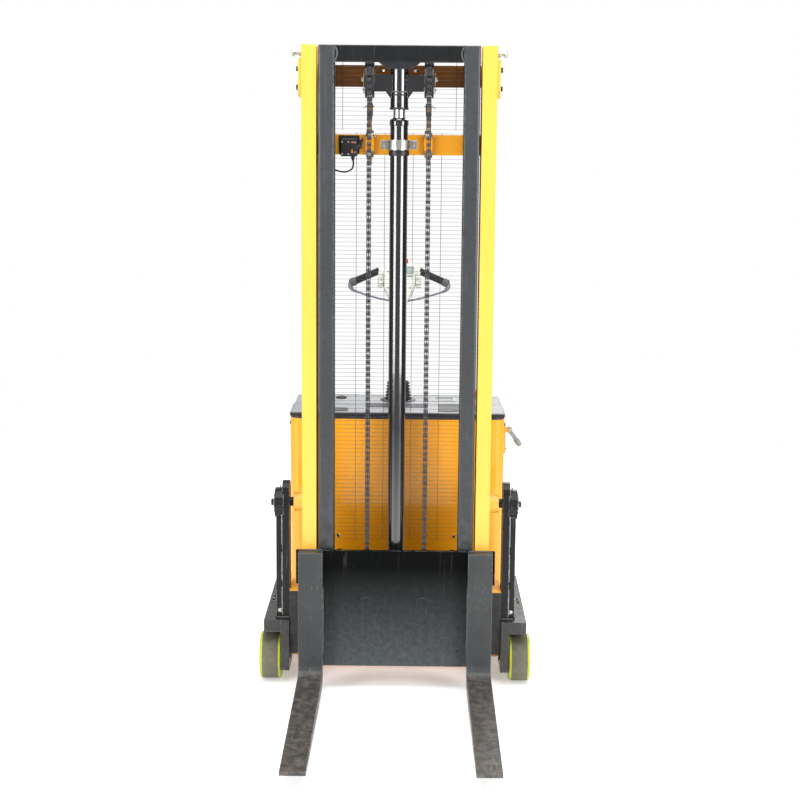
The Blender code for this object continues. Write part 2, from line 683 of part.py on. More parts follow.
def caster(word, side):
    x, y = side * CASTER.x, CASTER.y
    wheel_y = y + CASTER_TRAIL
    head = rod("caster_fork_" + word, (x, y, LEG_TOP - 0.028), "Z", 0.028, 0.034)
    tools = []
    for way in (-1, 1):
        cheek = [(wheel_y - 0.016, 0.030), (wheel_y + 0.016, 0.030), (wheel_y + 0.016, 0.070),
                 (y + 0.030, LEG_TOP - 0.020), (y - 0.026, LEG_TOP - 0.020)]
        tools.append(plate(None, cheek, "YZ", (x + way * 0.0195, x + way * 0.0245)))
    pin = rod(None, (x - 0.024, wheel_y, CASTER_R), "X", 0.048, 0.0060, 16)
    finish(fuse(head, *tools, pin), "steel")
    profile = ring_profile(0.0066, CASTER_R, -0.016, 0.016)
    wheel = turned("caster_wheel_" + word, profile, (x, wheel_y, CASTER_R), "X", 28)
    finish(wheel, "polyurethane")
    put_on_axis("caster_fork_" + word, (x, y, LEG_TOP), head)
    put_on_axis("caster_wheel_" + word, (x, wheel_y, CASTER_R), wheel)


# ---------------------------------------------------------------- tiller and controls

TILLER = Matrix.Translation((0.0, DRIVE_Y, PIVOT_Z)) @ Matrix.Rotation(-TILLER_LEAN, 4, "X")
HEAD_FACE = 0.026                 # half the head's thickness
THROTTLE_Z = 0.365
BUTTONS = {"lift_button": (-0.022, 0.345), "lower_button": (0.022, 0.345), "horn_button": (0.0, 0.315)}


def tiller_arm():
    eye = rod("tiller_arm", (-0.0200, 0.0, 0.0), "X", 0.040, 0.0150, 24, TILLER)
    arm = rod(None, (0.0, 0.0, 0.004), "Z", 0.284, 0.019, 24, TILLER)
    hole = rod(None, (-0.03, 0.0, 0.0), "X", 0.060, 0.0077, 16, TILLER)
    return finish(cut(fuse(eye, arm), hole), "frame_black")


def tiller_head():
    """A tapered housing between two hand loops, with pockets for its buttons and the throttle."""
    outline = fillet([(-0.024, 0.2885, 0.010), (0.024, 0.2885, 0.010), (0.055, 0.350, 0.020),
                      (0.050, 0.430, 0.016), (-0.050, 0.430, 0.016), (-0.055, 0.350, 0.020)])
    head = plate("tiller_head", outline, "XZ", (-HEAD_FACE, HEAD_FACE), TILLER)
    loops = []
    for _, side in SIDES:
        route = [(0.160, 0.3665), (0.1665, 0.3600), (0.1680, 0.3510), (0.1620, 0.3420), (0.1500, 0.3350),
                 (0.1100, 0.3220), (0.0700, 0.3110), (0.0200, 0.3010)]
        loops.append(tube(None, [(side * x, 0.0, z) for x, z in route], 0.0065, TILLER, 1))
        loops.append(tube(None, [(side * 0.066, 0.0, 0.4075), (side * 0.1630, 0.0, 0.3650)], 0.0125, TILLER))
    loops.append(box(None, (-0.072, -0.006, 0.396), (0.072, 0.006, 0.414), TILLER))
    shaft = rod(None, (-0.08, 0.0, THROTTLE_Z), "X", 0.160, 0.0088, 16, TILLER)
    top = box(None, (-0.0310, -0.0160, 0.4180), (0.0310, 0.0160, 0.450), TILLER)
    pockets = [rod(None, (x, HEAD_FACE - 0.007, z), "Y", 0.02, 0.0092, 16, TILLER)
               for x, z in BUTTONS.values()]
    return finish(cut(fuse(head, *loops), shaft, top, *pockets), "cream_plastic")


def tiller_boot():
    """A bellows: a stack of ribs that gets narrower upwards."""
    ribs, low, high = 5, HOOD_TOP + 0.0005, 0.905
    inner = 0.0342
    profile = [(inner, low), (inner - 0.001, high)]
    for i in range(2 * ribs, -1, -1):
        share = i / (2 * ribs)
        crest = 0.046 - 0.006 * share
        profile.append((crest if i % 2 == 0 else crest - 0.006, low + (high - low) * share))
    profile.append((inner, low))
    return finish(turned("tiller_boot", profile, (0.0, DRIVE_Y, 0.0)), "rubber")


def throttle():
    """A shaft through the head with a thumb paddle on each end."""
    shaft = rod("throttle", (-0.070, 0.0, THROTTLE_Z), "X", 0.140, 0.0080, 16, TILLER)
    paddles = [box(None, (side * 0.0580, -0.006, THROTTLE_Z - 0.020),
                   (side * 0.0760, 0.006, THROTTLE_Z + 0.020), TILLER) for _, side in SIDES]
    return finish(fuse(shaft, *paddles), "black_plastic")


def head_buttons():
    face = HEAD_FACE
    for name, (x, z) in BUTTONS.items():
        button = rod(name, (x, face - 0.0035, z), "Y", 0.0095, 0.0086, 16, TILLER)
        finish(button, "grey_plastic" if name != "horn_button" else "black_plastic")
        put_on_axis(name, TILLER @ Vector((x, face, z)), button)
    belly = box("belly_button", (-0.0300, -0.0150, 0.4270), (0.0300, 0.0150, 0.4460), TILLER)
    finish(bevel(belly, 0.003, 1), "red_plastic")
    put_on_axis("belly_button", TILLER @ Vector((0.0, 0.0, 0.4270)), belly)


def deck_controls():
    stem = rod("emergency_stop", (0.255, 0.600, 0.835), "Z", 0.030, 0.0080, 16)
    cap_profile = [(0.0, 0.876), (0.012, 0.875), (0.018, 0.871), (0.020, 0.864), (0.020, 0.857), (0.0, 0.857)]
    cap = turned(None, cap_profile, (0.255, 0.600, 0.0), "Z", 20)
    finish(fuse(stem, cap), "red_plastic")
    put_on_axis("emergency_stop", (0.255, 0.600, 0.850), stem)
    barrel = rod("ignition_key", (-0.255, 0.600, 0.832), "Z", 0.018, 0.0060, 16)
    bow = box(None, (-0.2565, 0.589, 0.8476), (-0.2535, 0.611, 0.872))
    finish(fuse(barrel, bow), "steel")
    put_on_axis("ignition_key", (-0.255, 0.600, 0.847), barrel)
    lean = Matrix.Translation(LEVER_PIVOT) @ Matrix.Rotation(math.radians(-36), 4, "Y")
    hub = rod("disconnect_lever", (0.0, -0.0063, 0.0), "Y", 0.0126, 0.010, 16, lean)
    arm = box(None, (-0.006, -0.004, -0.040), (0.006, 0.004, -0.004), lean)
    knob = rod(None, (0.0, 0.0, -0.036), "Z", -0.026, 0.0062, 12, lean)
    finish(fuse(hub, arm, knob), "grey_plastic")
    put_on_axis("disconnect_lever", LEVER_PIVOT, hub)


# ---------------------------------------------------------------- the machine

def build_fixed():
    for word, side in SIDES:
        outer_channel(word, side)
        leg(word, side)
        mast_post(word, side)
        battery_tray(word, side)
    mast_crossmembers()
    mast_guard()
    lift_cylinder()
    cylinder_clamp()
    limit_switch()
    chassis_beam()
    drive_deck()
    body_covers()
    hood_deck()
    battery_pack()
    power_unit()
    motor_controller()


def build_lift():
    inner = [lift_ram(), inner_crosshead(), sheave_carrier()]
    carriage = [carriage_plate()]
    for word, side in SIDES:
        inner += [inner_channel(word, side), lift_chain(word, side)]
        carriage += [carriage_side(word, side), fork(word, side)]
        wheel = sheave(word, side)
        put_on_axis("sheave_" + word, (side * SHEAVE_X, RAM_Y, SHEAVE_Z), wheel)
        roller = carriage_roller(word, side)
        put_on_axis("carriage_roller_" + word, (side * 0.203, ROLLER_Y, ROLLER_Z), roller)
        load = load_wheel(word, side)
        put_on_axis("load_wheel_" + word, (side * sum(WHEEL_X) / 2, WHEEL_Y, WHEEL_R), load)
    put_on_axis("mast_lift", (0.0, RAM_Y, 0.0), *inner)
    put_on_axis("carriage_lift", (0.0, PLATE_Y[0], 0.0), *carriage)


def build_drive():
    put_on_axis("steering", (0.0, DRIVE_Y, 0.0), drive_unit(), tiller_boot())
    put_on_axis("drive_wheel", (0.0, DRIVE_Y, DRIVE_R), drive_wheel())
    put_on_axis("tiller_pitch", (0.0, DRIVE_Y, PIVOT_Z), tiller_arm(), tiller_head())
    put_on_axis("throttle", TILLER @ Vector((0.0, 0.0, THROTTLE_Z)), throttle())
    put_on_axis("battery_lid", (0.0, BODY_FRONT, PANEL_TOP + GAP), battery_lid())
    head_buttons()
    deck_controls()
    for word, side in SIDES:
        caster(word, side)


clear_scene()
PARTS = new_collection(OBJECT_NAME)
CUTTERS = new_collection("cutters")
build_fixed()
build_lift()
build_drive()
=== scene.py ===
"""Looks of a walkie stacker: finishes, small parts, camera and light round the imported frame.

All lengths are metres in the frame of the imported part: Z up, forks towards -Y, left is -X.
"""
import math
import random

import bmesh
import bpy
from mathutils import Matrix, Vector


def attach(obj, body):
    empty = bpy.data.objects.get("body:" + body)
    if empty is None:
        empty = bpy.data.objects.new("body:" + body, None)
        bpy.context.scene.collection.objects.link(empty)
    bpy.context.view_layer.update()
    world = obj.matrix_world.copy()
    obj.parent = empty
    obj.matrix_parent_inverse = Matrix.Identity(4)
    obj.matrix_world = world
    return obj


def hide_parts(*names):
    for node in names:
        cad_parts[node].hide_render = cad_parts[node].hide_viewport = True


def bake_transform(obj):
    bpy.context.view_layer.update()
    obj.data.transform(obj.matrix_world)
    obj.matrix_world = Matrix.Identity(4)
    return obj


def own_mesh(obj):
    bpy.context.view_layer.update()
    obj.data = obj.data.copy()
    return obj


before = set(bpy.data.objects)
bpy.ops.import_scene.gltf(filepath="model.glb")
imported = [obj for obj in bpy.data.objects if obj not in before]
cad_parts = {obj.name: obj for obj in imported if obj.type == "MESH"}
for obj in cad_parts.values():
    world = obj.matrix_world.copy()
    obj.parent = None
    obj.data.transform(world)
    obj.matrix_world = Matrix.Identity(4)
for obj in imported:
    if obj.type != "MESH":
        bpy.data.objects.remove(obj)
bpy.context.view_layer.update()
SIDES = (("left", -1), ("right", 1))
SCENE = bpy.context.scene
DICE = random.Random(7)
WORLD_LIGHT = 0.42                # how much the white surroundings light the machine
FLOOR_RADIUS = 4.5


# ---------------------------------------------------------------- camera, stage and light

def link(obj):
    SCENE.collection.objects.link(obj)
    return obj


def make_camera():
    data = bpy.data.cameras.new("camera")
    data.lens, data.sensor_width = 71.99, 36.0
    data.clip_start, data.clip_end = 0.1, 100.0
    cam = link(bpy.data.objects.new("camera", data))
    pitch, yaw, roll = 9.970, 0.392, 0.482
    turn = (Matrix.Rotation(math.radians(yaw), 4, "Z") @ Matrix.Rotation(math.radians(90 - pitch), 4, "X")
            @ Matrix.Rotation(math.radians(roll), 4, "Z"))
    place = (0.0435, -4.8315, 1.7933)
    cam.matrix_world = Matrix.Translation(place) @ turn
    SCENE.camera = cam


def area_light(name, place, aim, size, power, tint=(1.0, 1.0, 1.0)):
    data = bpy.data.lights.new(name, "AREA")
    data.shape, data.size, data.size_y = "RECTANGLE", size[0], size[1]
    data.energy, data.color = power, tint
    lamp = link(bpy.data.objects.new(name, data))
    lamp.location = place
    lamp.rotation_mode = "QUATERNION"
    lamp.rotation_quaternion = (Vector(aim) - Vector(place)).to_track_quat("-Z", "Y")


def make_stage():
    """A white studio: soft boxes on both sides and overhead, and a floor that fades into the white."""
    world = bpy.data.worlds.new("studio")
    SCENE.world = world
    world.use_nodes = True
    tree = world.node_tree
    sky = tree.nodes["Background"]
    sky.inputs["Color"].default_value = (1.0, 1.0, 1.0, 1.0)
    seen = node(tree, "LightPath").outputs["Is Camera Ray"]
    tree.links.new(remap(tree, seen, 0.0, 1.0, WORLD_LIGHT, 1.0), sky.inputs["Strength"])
    bm = bmesh.new()
    bmesh.ops.create_circle(bm, cap_ends=True, segments=96, radius=FLOOR_RADIUS)
    data = bpy.data.meshes.new("floor")
    bm.to_mesh(data)
    bm.free()
    floor = link(bpy.data.objects.new("floor", data))
    floor.location.z = -0.0006
    mat = bpy.data.materials.new("floor_white")
    mat.use_nodes = True
    tree = mat.node_tree
    shader = tree.nodes["Principled BSDF"]
    place = node(tree, "TexCoord").outputs["Object"]
    cloud = node(tree, "TexNoise", {"Vector": place, "Scale": 1.3, "Detail": 3.0})
    tint = ramp(tree, cloud.outputs[0], (0.925, 0.925, 0.93), (0.95, 0.95, 0.95), 0.35, 0.65)
    tree.links.new(tint, shader.inputs["Base Color"])
    shader.inputs["Roughness"].default_value = 0.7
    shader.inputs["Emission Color"].default_value = (1.0, 1.0, 1.0, 1.0)
    shader.inputs["Emission Strength"].default_value = 0.30
    reach = node(tree, "VectorMath", {0: place}, operation="LENGTH").outputs["Value"]
    clear = node(tree, "BsdfTransparent")
    fade = node(tree, "MixShader", {0: remap(tree, reach, FLOOR_RADIUS * 0.45, FLOOR_RADIUS * 0.95),
                                    1: shader.outputs[0], 2: clear.outputs[0]})
    tree.links.new(fade.outputs[0], tree.nodes["Material Output"].inputs["Surface"])
    data.materials.append(mat)
    area_light("soft_box_left", (-3.3, -2.45, 1.6), (0.0, 0.0, 1.0), (1.2, 2.6), 118.0)
    area_light("soft_box_right", (3.2, -2.6, 1.6), (0.0, 0.0, 1.0), (1.4, 2.6), 128.0)
    area_light("overhead", (0.0, -0.9, 4.3), (0.0, 0.0, 0.8), (3.2, 3.0), 150.0)
    area_light("rear", (0.8, 4.4, 3.2), (0.0, 0.4, 0.8), (2.6, 2.0), 110.0)
    SCENE.view_settings.view_transform = "Standard"


# ---------------------------------------------------------------- materials

def srgb(red, green, blue):
    """A colour given as it looks on a screen, 0 to 255, in linear light."""
    shares = (red / 255, green / 255, blue / 255)
    return tuple(s / 12.92 if s <= 0.04045 else ((s + 0.055) / 1.055) ** 2.4 for s in shares)


def node(tree, kind, inputs=None, **settings):
    made = tree.nodes.new("ShaderNode" + kind)
    for key, value in settings.items():
        setattr(made, key, value)
    for key, value in (inputs or {}).items():
        if isinstance(value, bpy.types.NodeSocket):
            tree.links.new(value, made.inputs[key])
        else:
            made.inputs[key].default_value = value
    return made


def remap(tree, value, low, high, to_low=0.0, to_high=1.0):
    made = node(tree, "MapRange", {"Value": value, "From Min": low, "From Max": high,
                                   "To Min": to_low, "To Max": to_high})
    return made.outputs["Result"]


def product(tree, first, second):
    return node(tree, "Math", {0: first, 1: second}, operation="MULTIPLY").outputs[0]


def blend_colour(tree, share, first, second):
    def value(colour):
        return colour if isinstance(colour, bpy.types.NodeSocket) else (*colour, 1.0)
    made = node(tree, "Mix", {0: share, 6: value(first), 7: value(second)}, data_type="RGBA")
    return made.outputs[2]


def ramp(tree, value, first, second, low=0.0, high=1.0):
    return blend_colour(tree, remap(tree, value, low, high), first, second)


def scaled(colour, factor):
    return tuple(min(1.0, c * factor) for c in colour)


def finish(name, colour, rough, metallic=0.0, vary=0.10, patch=5.0, grain=700.0, depth=0.06,
           wear=None, wear_share=0.5, dust_and_reflection=None, dust_and_reflection_share=0.25, dust_and_reflection_top=0.5, scratch=None,
           scratch_share=0.3, stretch=(260.0, 260.0, 6.0), coat=0.0, edge=0.0014, spread=0.10, extra=None,
           gloss=0.5,
           clumps=(0.38, 0.68)):
    """A painted, moulded or metal surface.

    It has broad patches of tone, uneven gloss, fine grain, softened edges that may be worn to another
    colour, thin scratches, and a tint that thickens towards the floor: dust, and on the carriage plate a painted
    reflection of the floor.
    """
    mat = bpy.data.materials.new(name)
    mat.use_nodes = True
    tree = mat.node_tree
    shader = tree.nodes["Principled BSDF"]
    place = node(tree, "TexCoord").outputs["Object"]
    broad = node(tree, "TexNoise", {"Vector": place, "Scale": patch, "Detail": 5.0, "Roughness": 0.6}).outputs[0]
    small = node(tree, "TexNoise", {"Vector": place, "Scale": patch * 14, "Detail": 6.0,
                                    "Roughness": 0.7}).outputs[0]
    colour_out = ramp(tree, broad, scaled(colour, 1 - vary), scaled(colour, 1 + vary), 0.30, 0.70)
    rough_out = remap(tree, small, 0.30, 0.70, max(0.02, rough - spread), min(1.0, rough + spread))
    soft = node(tree, "Bevel", {"Radius": edge}, samples=4).outputs[0]
    if scratch:
        drawn = node(tree, "Mapping", {"Vector": place, "Scale": stretch}).outputs[0]
        lines = node(tree, "TexNoise", {"Vector": drawn, "Scale": 1.0, "Detail": 3.0, "Roughness": 0.6}).outputs[0]
        share = product(tree, remap(tree, lines, 0.62, 0.70), scratch_share)
        share = product(tree, share, remap(tree, broad, 0.40, 0.60))
        colour_out = blend_colour(tree, share, colour_out, scratch)
    if wear:
        flat = node(tree, "NewGeometry").outputs["Normal"]
        turn = node(tree, "VectorMath", {0: soft, 1: flat}, operation="DOT_PRODUCT").outputs["Value"]
        chips = remap(tree, small, 0.44, 0.56)
        share = product(tree, product(tree, remap(tree, turn, 0.995, 0.93), chips), wear_share)
        colour_out = blend_colour(tree, share, colour_out, wear)
    # tint towards the floor: dust on most finishes, a painted reflection of the floor on the carriage plate
    if dust_and_reflection:
        height = node(tree, "SeparateXYZ", {"Vector": place}).outputs["Z"]
        share = product(tree, remap(tree, height, dust_and_reflection_top, 0.0), remap(tree, small, *clumps))
        colour_out = blend_colour(tree, product(tree, share, dust_and_reflection_share), colour_out, dust_and_reflection)
        rough_out = node(tree, "Math", {0: rough_out, 1: product(tree, share, 0.3)}, operation="ADD",
                         use_clamp=True).outputs[0]
    if extra:
        colour_out = extra(tree, place, colour_out, small)
    peel = node(tree, "TexNoise", {"Vector": place, "Scale": grain, "Detail": 2.0}).outputs[0]
    bump = node(tree, "Bump", {"Height": peel, "Strength": depth, "Distance": 0.001, "Normal": soft})
    tree.links.new(colour_out, shader.inputs["Base Color"])
    tree.links.new(rough_out, shader.inputs["Roughness"])
    tree.links.new(bump.outputs[0], shader.inputs["Normal"])
    shader.inputs["Metallic"].default_value = metallic
    shader.inputs["Coat Weight"].default_value = coat
    shader.inputs["Specular IOR Level"].default_value = gloss
    return mat


def blade_marks(tree, place, colour, small):
    """Rubbed brown-grey patches and bright specks on the top of a fork's blade."""
    height = node(tree, "SeparateXYZ", {"Vector": place}).outputs["Z"]
    low = remap(tree, height, 0.075, 0.056)
    mottle = node(tree, "TexNoise", {"Vector": place, "Scale": 34.0, "Detail": 6.0, "Roughness": 0.7}).outputs[0]
    rubbed = product(tree, low, remap(tree, mottle, 0.42, 0.62))
    colour = blend_colour(tree, product(tree, rubbed, 0.75), colour, srgb(112, 100, 90))
    cells = node(tree, "TexVoronoi", {"Vector": place, "Scale": 130.0}).outputs["Distance"]
    heel = product(tree, remap(tree, height, 0.20, 0.05), remap(tree, mottle, 0.50, 0.62))
    specks = product(tree, remap(tree, cells, 0.16, 0.08), heel)
    return blend_colour(tree, product(tree, specks, 0.8), colour, srgb(200, 198, 190))


def rim_below(level, rim_colour):
    """A colour change at one height, for a lid whose edge band is darker than its top."""
    def paint(tree, place, colour, small):
        height = node(tree, "SeparateXYZ", {"Vector": place}).outputs["Z"]
        return blend_colour(tree, remap(tree, height, level + 0.0004, level - 0.0004), colour, rim_colour)
    return paint


SEAL_FOOT = 0.8195                # Z where the dark seal along the covers' top edge begins


def seal_above(level, seal_colour):
    """A dark seal along the top edge of the covers."""
    def paint(tree, place, colour, small):
        height = node(tree, "SeparateXYZ", {"Vector": place}).outputs["Z"]
        band = product(tree, remap(tree, height, level - 0.0004, level + 0.0004), remap(tree, height, 0.90, 0.89))
        return blend_colour(tree, band, colour, seal_colour)
    return paint


def painted_shade_foot(tree, place, colour, small):
    """Painted shade: the mast's outer faces below the foot bracket's top are painted near-black, standing in for the
    shadow that falls there.
    """
    split = node(tree, "SeparateXYZ", {"Vector": place})
    out = node(tree, "Math", {0: split.outputs["X"]}, operation="ABSOLUTE").outputs[0]
    outer_face, bracket_top = (0.2947, 0.2953), (0.3045, 0.3025)
    share = product(tree, remap(tree, out, *outer_face), remap(tree, split.outputs["Z"], *bracket_top))
    return blend_colour(tree, share, colour, srgb(16, 16, 17))


def painted_front_shade(tree, place, colour, small):
    """Painted shade: the faces that look towards the forks are darkened to a brown amber, standing in for the shadow
    under the crosshead.
    """
    facing = node(tree, "SeparateXYZ", {"Vector": node(tree, "TexCoord").outputs["Normal"]}).outputs["Y"]
    share = product(tree, remap(tree, facing, -0.30, -0.80), remap(tree, small, 0.25, 0.45, 0.80, 1.0))
    return blend_colour(tree, share, colour, srgb(98, 56, 10))


def make_materials():
    bare = srgb(168, 168, 165)
    soil = srgb(120, 112, 98)
    made = {
        # painted shade: near-black on the mast's outer faces below the foot bracket's top
        "mast_yellow": finish("mast_yellow_paint", srgb(238, 184, 74), 0.34, vary=0.04, patch=2.2, coat=0.15,
                              wear=srgb(120, 96, 20), wear_share=0.35, dust_and_reflection=srgb(214, 150, 30), dust_and_reflection_share=0.35,
                              dust_and_reflection_top=0.9, depth=0.05, extra=painted_shade_foot),
        "panel_yellow": finish("panel_amber_paint", srgb(246, 166, 20), 0.30, vary=0.06, patch=2.6, coat=0.35,
                               wear=srgb(90, 66, 20), wear_share=0.35, dust_and_reflection=srgb(170, 120, 40), dust_and_reflection_share=0.25,
                               depth=0.05, extra=seal_above(SEAL_FOOT, srgb(40, 42, 45))),
        # painted shade: this amber darkens on the forward faces, for the shadow under the crosshead
        "front_shaded_amber": finish("front_shaded_amber_paint", srgb(240, 166, 24), 0.42, vary=0.06, patch=2.6,
                              wear=srgb(90, 66, 20), wear_share=0.35, depth=0.05, extra=painted_front_shade, gloss=0.3),
        "channel_black": finish("channel_black_paint", srgb(58, 61, 63), 0.32, edge=0.0045, vary=0.12, patch=3.0,
                                wear=bare,
                                wear_share=0.42, dust_and_reflection=srgb(24, 25, 25), dust_and_reflection_share=1.0, dust_and_reflection_top=1.7,
                                scratch=srgb(130, 134, 136),
                                scratch_share=0.30, depth=0.07),
        "frame_black": finish("frame_black_paint", srgb(22, 24, 25), 0.36, vary=0.22, patch=3.0, gloss=0.3,
                              wear=bare,
                              wear_share=0.42, dust_and_reflection=soil, dust_and_reflection_share=0.20, scratch=srgb(110, 114, 116),
                              scratch_share=0.35, depth=0.07),
        "gloss_black": finish("barrel_gloss_black", srgb(17, 19, 23), 0.15, vary=0.20, patch=3.0, spread=0.03,
                              wear=bare, wear_share=0.25, dust_and_reflection=soil, dust_and_reflection_share=0.12, depth=0.02, gloss=1.0,
                              coat=0.5),
        # the plate's lightening towards the floor is a painted reflection of the white floor, set through the dust
        # settings
        "plate_black": finish("carriage_black_paint", srgb(8, 9, 9), 0.34, vary=0.25, patch=4.0, wear=bare,
                              wear_share=0.8, dust_and_reflection=srgb(98, 103, 104), dust_and_reflection_share=0.85, dust_and_reflection_top=0.40,
                              scratch=srgb(120, 120, 118), scratch_share=0.30, depth=0.06, gloss=0.04,
                              clumps=(-0.2, 0.75)),
        "fork_black": finish("fork_worn_black", srgb(47, 50, 51), 0.50, vary=0.22, patch=8.0, grain=420.0,
                             depth=0.14, wear=srgb(176, 172, 164), wear_share=0.75, scratch=srgb(150, 144, 136),
                             scratch_share=0.5, stretch=(220.0, 9.0, 30.0), edge=0.0026, extra=blade_marks),
        "post_blue": finish("post_worn_black", srgb(14, 17, 20), 0.36, gloss=0.3, vary=0.25, patch=9.0,
                            wear=srgb(214, 214, 210),
                            wear_share=0.9, dust_and_reflection=soil, dust_and_reflection_share=0.15, scratch=srgb(170, 172, 172),
                            scratch_share=0.35, edge=0.0022),
        "steel": finish("zinc_plated_steel", srgb(196, 196, 190), 0.30, metallic=1.0, vary=0.12, patch=40.0,
                        grain=900.0, depth=0.05, spread=0.12),
        "bronze": finish("bronze_keeper", srgb(168, 150, 112), 0.36, metallic=1.0, vary=0.20, patch=40.0),
        "bolt_dark": finish("blackened_bolt", srgb(58, 58, 60), 0.42, metallic=0.7, vary=0.25, patch=60.0,
                            wear=bare, wear_share=0.6, edge=0.0006),
        "chrome": finish("hard_chrome", srgb(226, 229, 232), 0.08, metallic=1.0, vary=0.04, patch=20.0,
                         depth=0.01, spread=0.04),
        "chain_steel": finish("oiled_chain_steel", srgb(55, 56, 60), 0.40, metallic=0.3, vary=0.20, patch=60.0,
                              wear=srgb(120, 120, 126), wear_share=0.4, edge=0.0006, spread=0.12),
        "wire": finish("guard_wire_grey", srgb(58, 58, 64), 0.45, vary=0.20, patch=20.0, edge=0.0003),
        "lime": finish("polyurethane_lime", srgb(176, 184, 34), 0.38, vary=0.14, patch=26.0,
                       dust_and_reflection=srgb(150, 140, 110), dust_and_reflection_share=0.5, dust_and_reflection_top=0.16, depth=0.08),
        "tread": finish("polyurethane_tread", srgb(88, 87, 70), 0.72, vary=0.25, patch=60.0, grain=260.0,
                        depth=0.35, dust_and_reflection=srgb(150, 144, 130), dust_and_reflection_share=0.5, dust_and_reflection_top=0.2),
        "hood_grey": finish("hood_grey_plastic", srgb(136, 139, 143), 0.46, vary=0.05, patch=6.0, grain=520.0,
                            depth=0.16, wear=srgb(150, 152, 154), wear_share=0.3,
                            extra=rim_below(0.8392, srgb(34, 36, 39))),
        "black_plastic": finish("moulded_black_plastic", srgb(27, 28, 30), 0.48, vary=0.14, patch=14.0,
                                grain=640.0, depth=0.22, wear=srgb(96, 96, 98), wear_share=0.35),
        "cream_plastic": finish("moulded_cream_plastic", srgb(212, 216, 206), 0.40, vary=0.06, patch=16.0,
                                grain=700.0, depth=0.12, wear=srgb(170, 168, 156), wear_share=0.35),
        "grey_plastic": finish("moulded_grey_plastic", srgb(134, 138, 142), 0.44, vary=0.10, patch=30.0,
                               grain=800.0, depth=0.15),
        "rubber": finish("matt_rubber", srgb(26, 26, 27), 0.68, vary=0.16, patch=24.0, grain=500.0, depth=0.20,
                         dust_and_reflection=srgb(120, 118, 112), dust_and_reflection_share=0.3, dust_and_reflection_top=1.4),
        "red_plastic": finish("moulded_red_plastic", srgb(196, 26, 22), 0.34, vary=0.10, patch=30.0, depth=0.06,
                              wear=srgb(230, 120, 110), wear_share=0.4),
        "orange": finish("orange_insert", srgb(226, 106, 24), 0.42, vary=0.12, patch=40.0),
        "aluminium": finish("cast_aluminium", srgb(172, 174, 176), 0.42, metallic=1.0, vary=0.10, patch=30.0,
                            grain=480.0, depth=0.20, scratch=srgb(120, 122, 124), scratch_share=0.4),
        "copper": finish("lead_red_cable", srgb(150, 30, 26), 0.45, vary=0.15, patch=50.0, depth=0.05),
        "screen": finish("display_glass", srgb(150, 168, 164), 0.12, vary=0.12, patch=60.0, coat=0.8, depth=0.0),
        "weld": finish("painted_weld", srgb(88, 90, 92), 0.36, metallic=0.3, vary=0.30, patch=90.0, depth=0.3,
                       grain=380.0, edge=0.0006),
        "leg_black": finish("leg_black_paint", srgb(21, 24, 27), 0.30, vary=0.22, patch=5.0, coat=0.2, wear=bare,
                            wear_share=0.6, dust_and_reflection=soil, dust_and_reflection_share=0.25, scratch=srgb(150, 152, 152), depth=0.06),
        "bare_weld": finish("rubbed_weld", srgb(150, 152, 152), 0.34, metallic=0.8, vary=0.35, patch=120.0,
                            depth=0.25,
                            grain=420.0, edge=0.0006),
        "hub": finish("cast_hub_grey", srgb(120, 122, 120), 0.46, metallic=0.8, vary=0.15, patch=40.0, grain=380.0,
                      depth=0.18, dust_and_reflection=soil, dust_and_reflection_share=0.4, dust_and_reflection_top=0.2),
        "cast_grey": finish("cast_motor_grey", srgb(92, 94, 96), 0.50, metallic=0.5, vary=0.15, patch=30.0,
                            grain=320.0,
                            depth=0.22),
        "drive_tyre": finish("drive_tyre_amber", srgb(150, 104, 44), 0.55, vary=0.20, patch=30.0, grain=300.0,
                             depth=0.25,
                             dust_and_reflection=srgb(120, 110, 92), dust_and_reflection_share=0.7, dust_and_reflection_top=0.24),
        "hood_pale": finish("hood_pale_plastic", srgb(160, 163, 167), 0.46, vary=0.05, patch=6.0, grain=520.0,
                            depth=0.16),
        "tray_dark": finish("tray_dark_mat", srgb(34, 35, 38), 0.55, vary=0.10, patch=30.0, grain=420.0,
                            depth=0.25),
        "display_bar": finish("display_bar", srgb(70, 84, 70), 0.30, vary=0.10, patch=60.0),
        "white_mark": finish("white_mark", srgb(228, 226, 220), 0.40, vary=0.06, patch=60.0),
        "loop_slate": finish("hand_loop_slate", srgb(108, 108, 120), 0.36, vary=0.12, patch=40.0, wear=bare,
                             wear_share=0.3),
        "corner_grey": finish("loop_corner_grey", srgb(76, 80, 82), 0.42, vary=0.12, patch=40.0, grain=600.0,
                              depth=0.15),
    }
    return made


# ---------------------------------------------------------------- shapes

PLANES = {                        # outline (a, b) and level c to X, Y, Z
    "XY": lambda a, b, c: (a, b, c),
    "XZ": lambda a, b, c: (a, c, b),
    "YZ": lambda a, b, c: (c, a, b),
}


def frame_along(start, direction):
    """A placement at start whose local Z points along direction."""
    turn = Vector(direction).to_track_quat("Z", "Y").to_matrix().to_4x4()
    return Matrix.Translation(start) @ turn


def round_outline(corners, radius, steps=4):
    """A closed outline with every corner rounded. A corner is (a, b) or (a, b, its own radius)."""
    points = []
    count = len(corners)
    for i, corner in enumerate(corners):
        here = Vector(corner[:2])
        size = corner[2] if len(corner) > 2 else radius
        before = Vector(corners[i - 1][:2]) - here
        after = Vector(corners[(i + 1) % count][:2]) - here
        size = min(size, before.length * 0.49, after.length * 0.49)
        if size <= 1e-6:
            points.append(tuple(here))
            continue
        first = here + before.normalized() * size
        last = here + after.normalized() * size
        for step in range(steps + 1):
            t = step / steps
            spot = first * (1 - t) ** 2 + here * (2 * t * (1 - t)) + last * t ** 2
            points.append(tuple(spot))
    return points


def rectangle(low, high, radius, steps=3):
    return round_outline([(low[0], low[1]), (high[0], low[1]), (high[0], high[1]), (low[0], high[1])], radius,
                         steps)


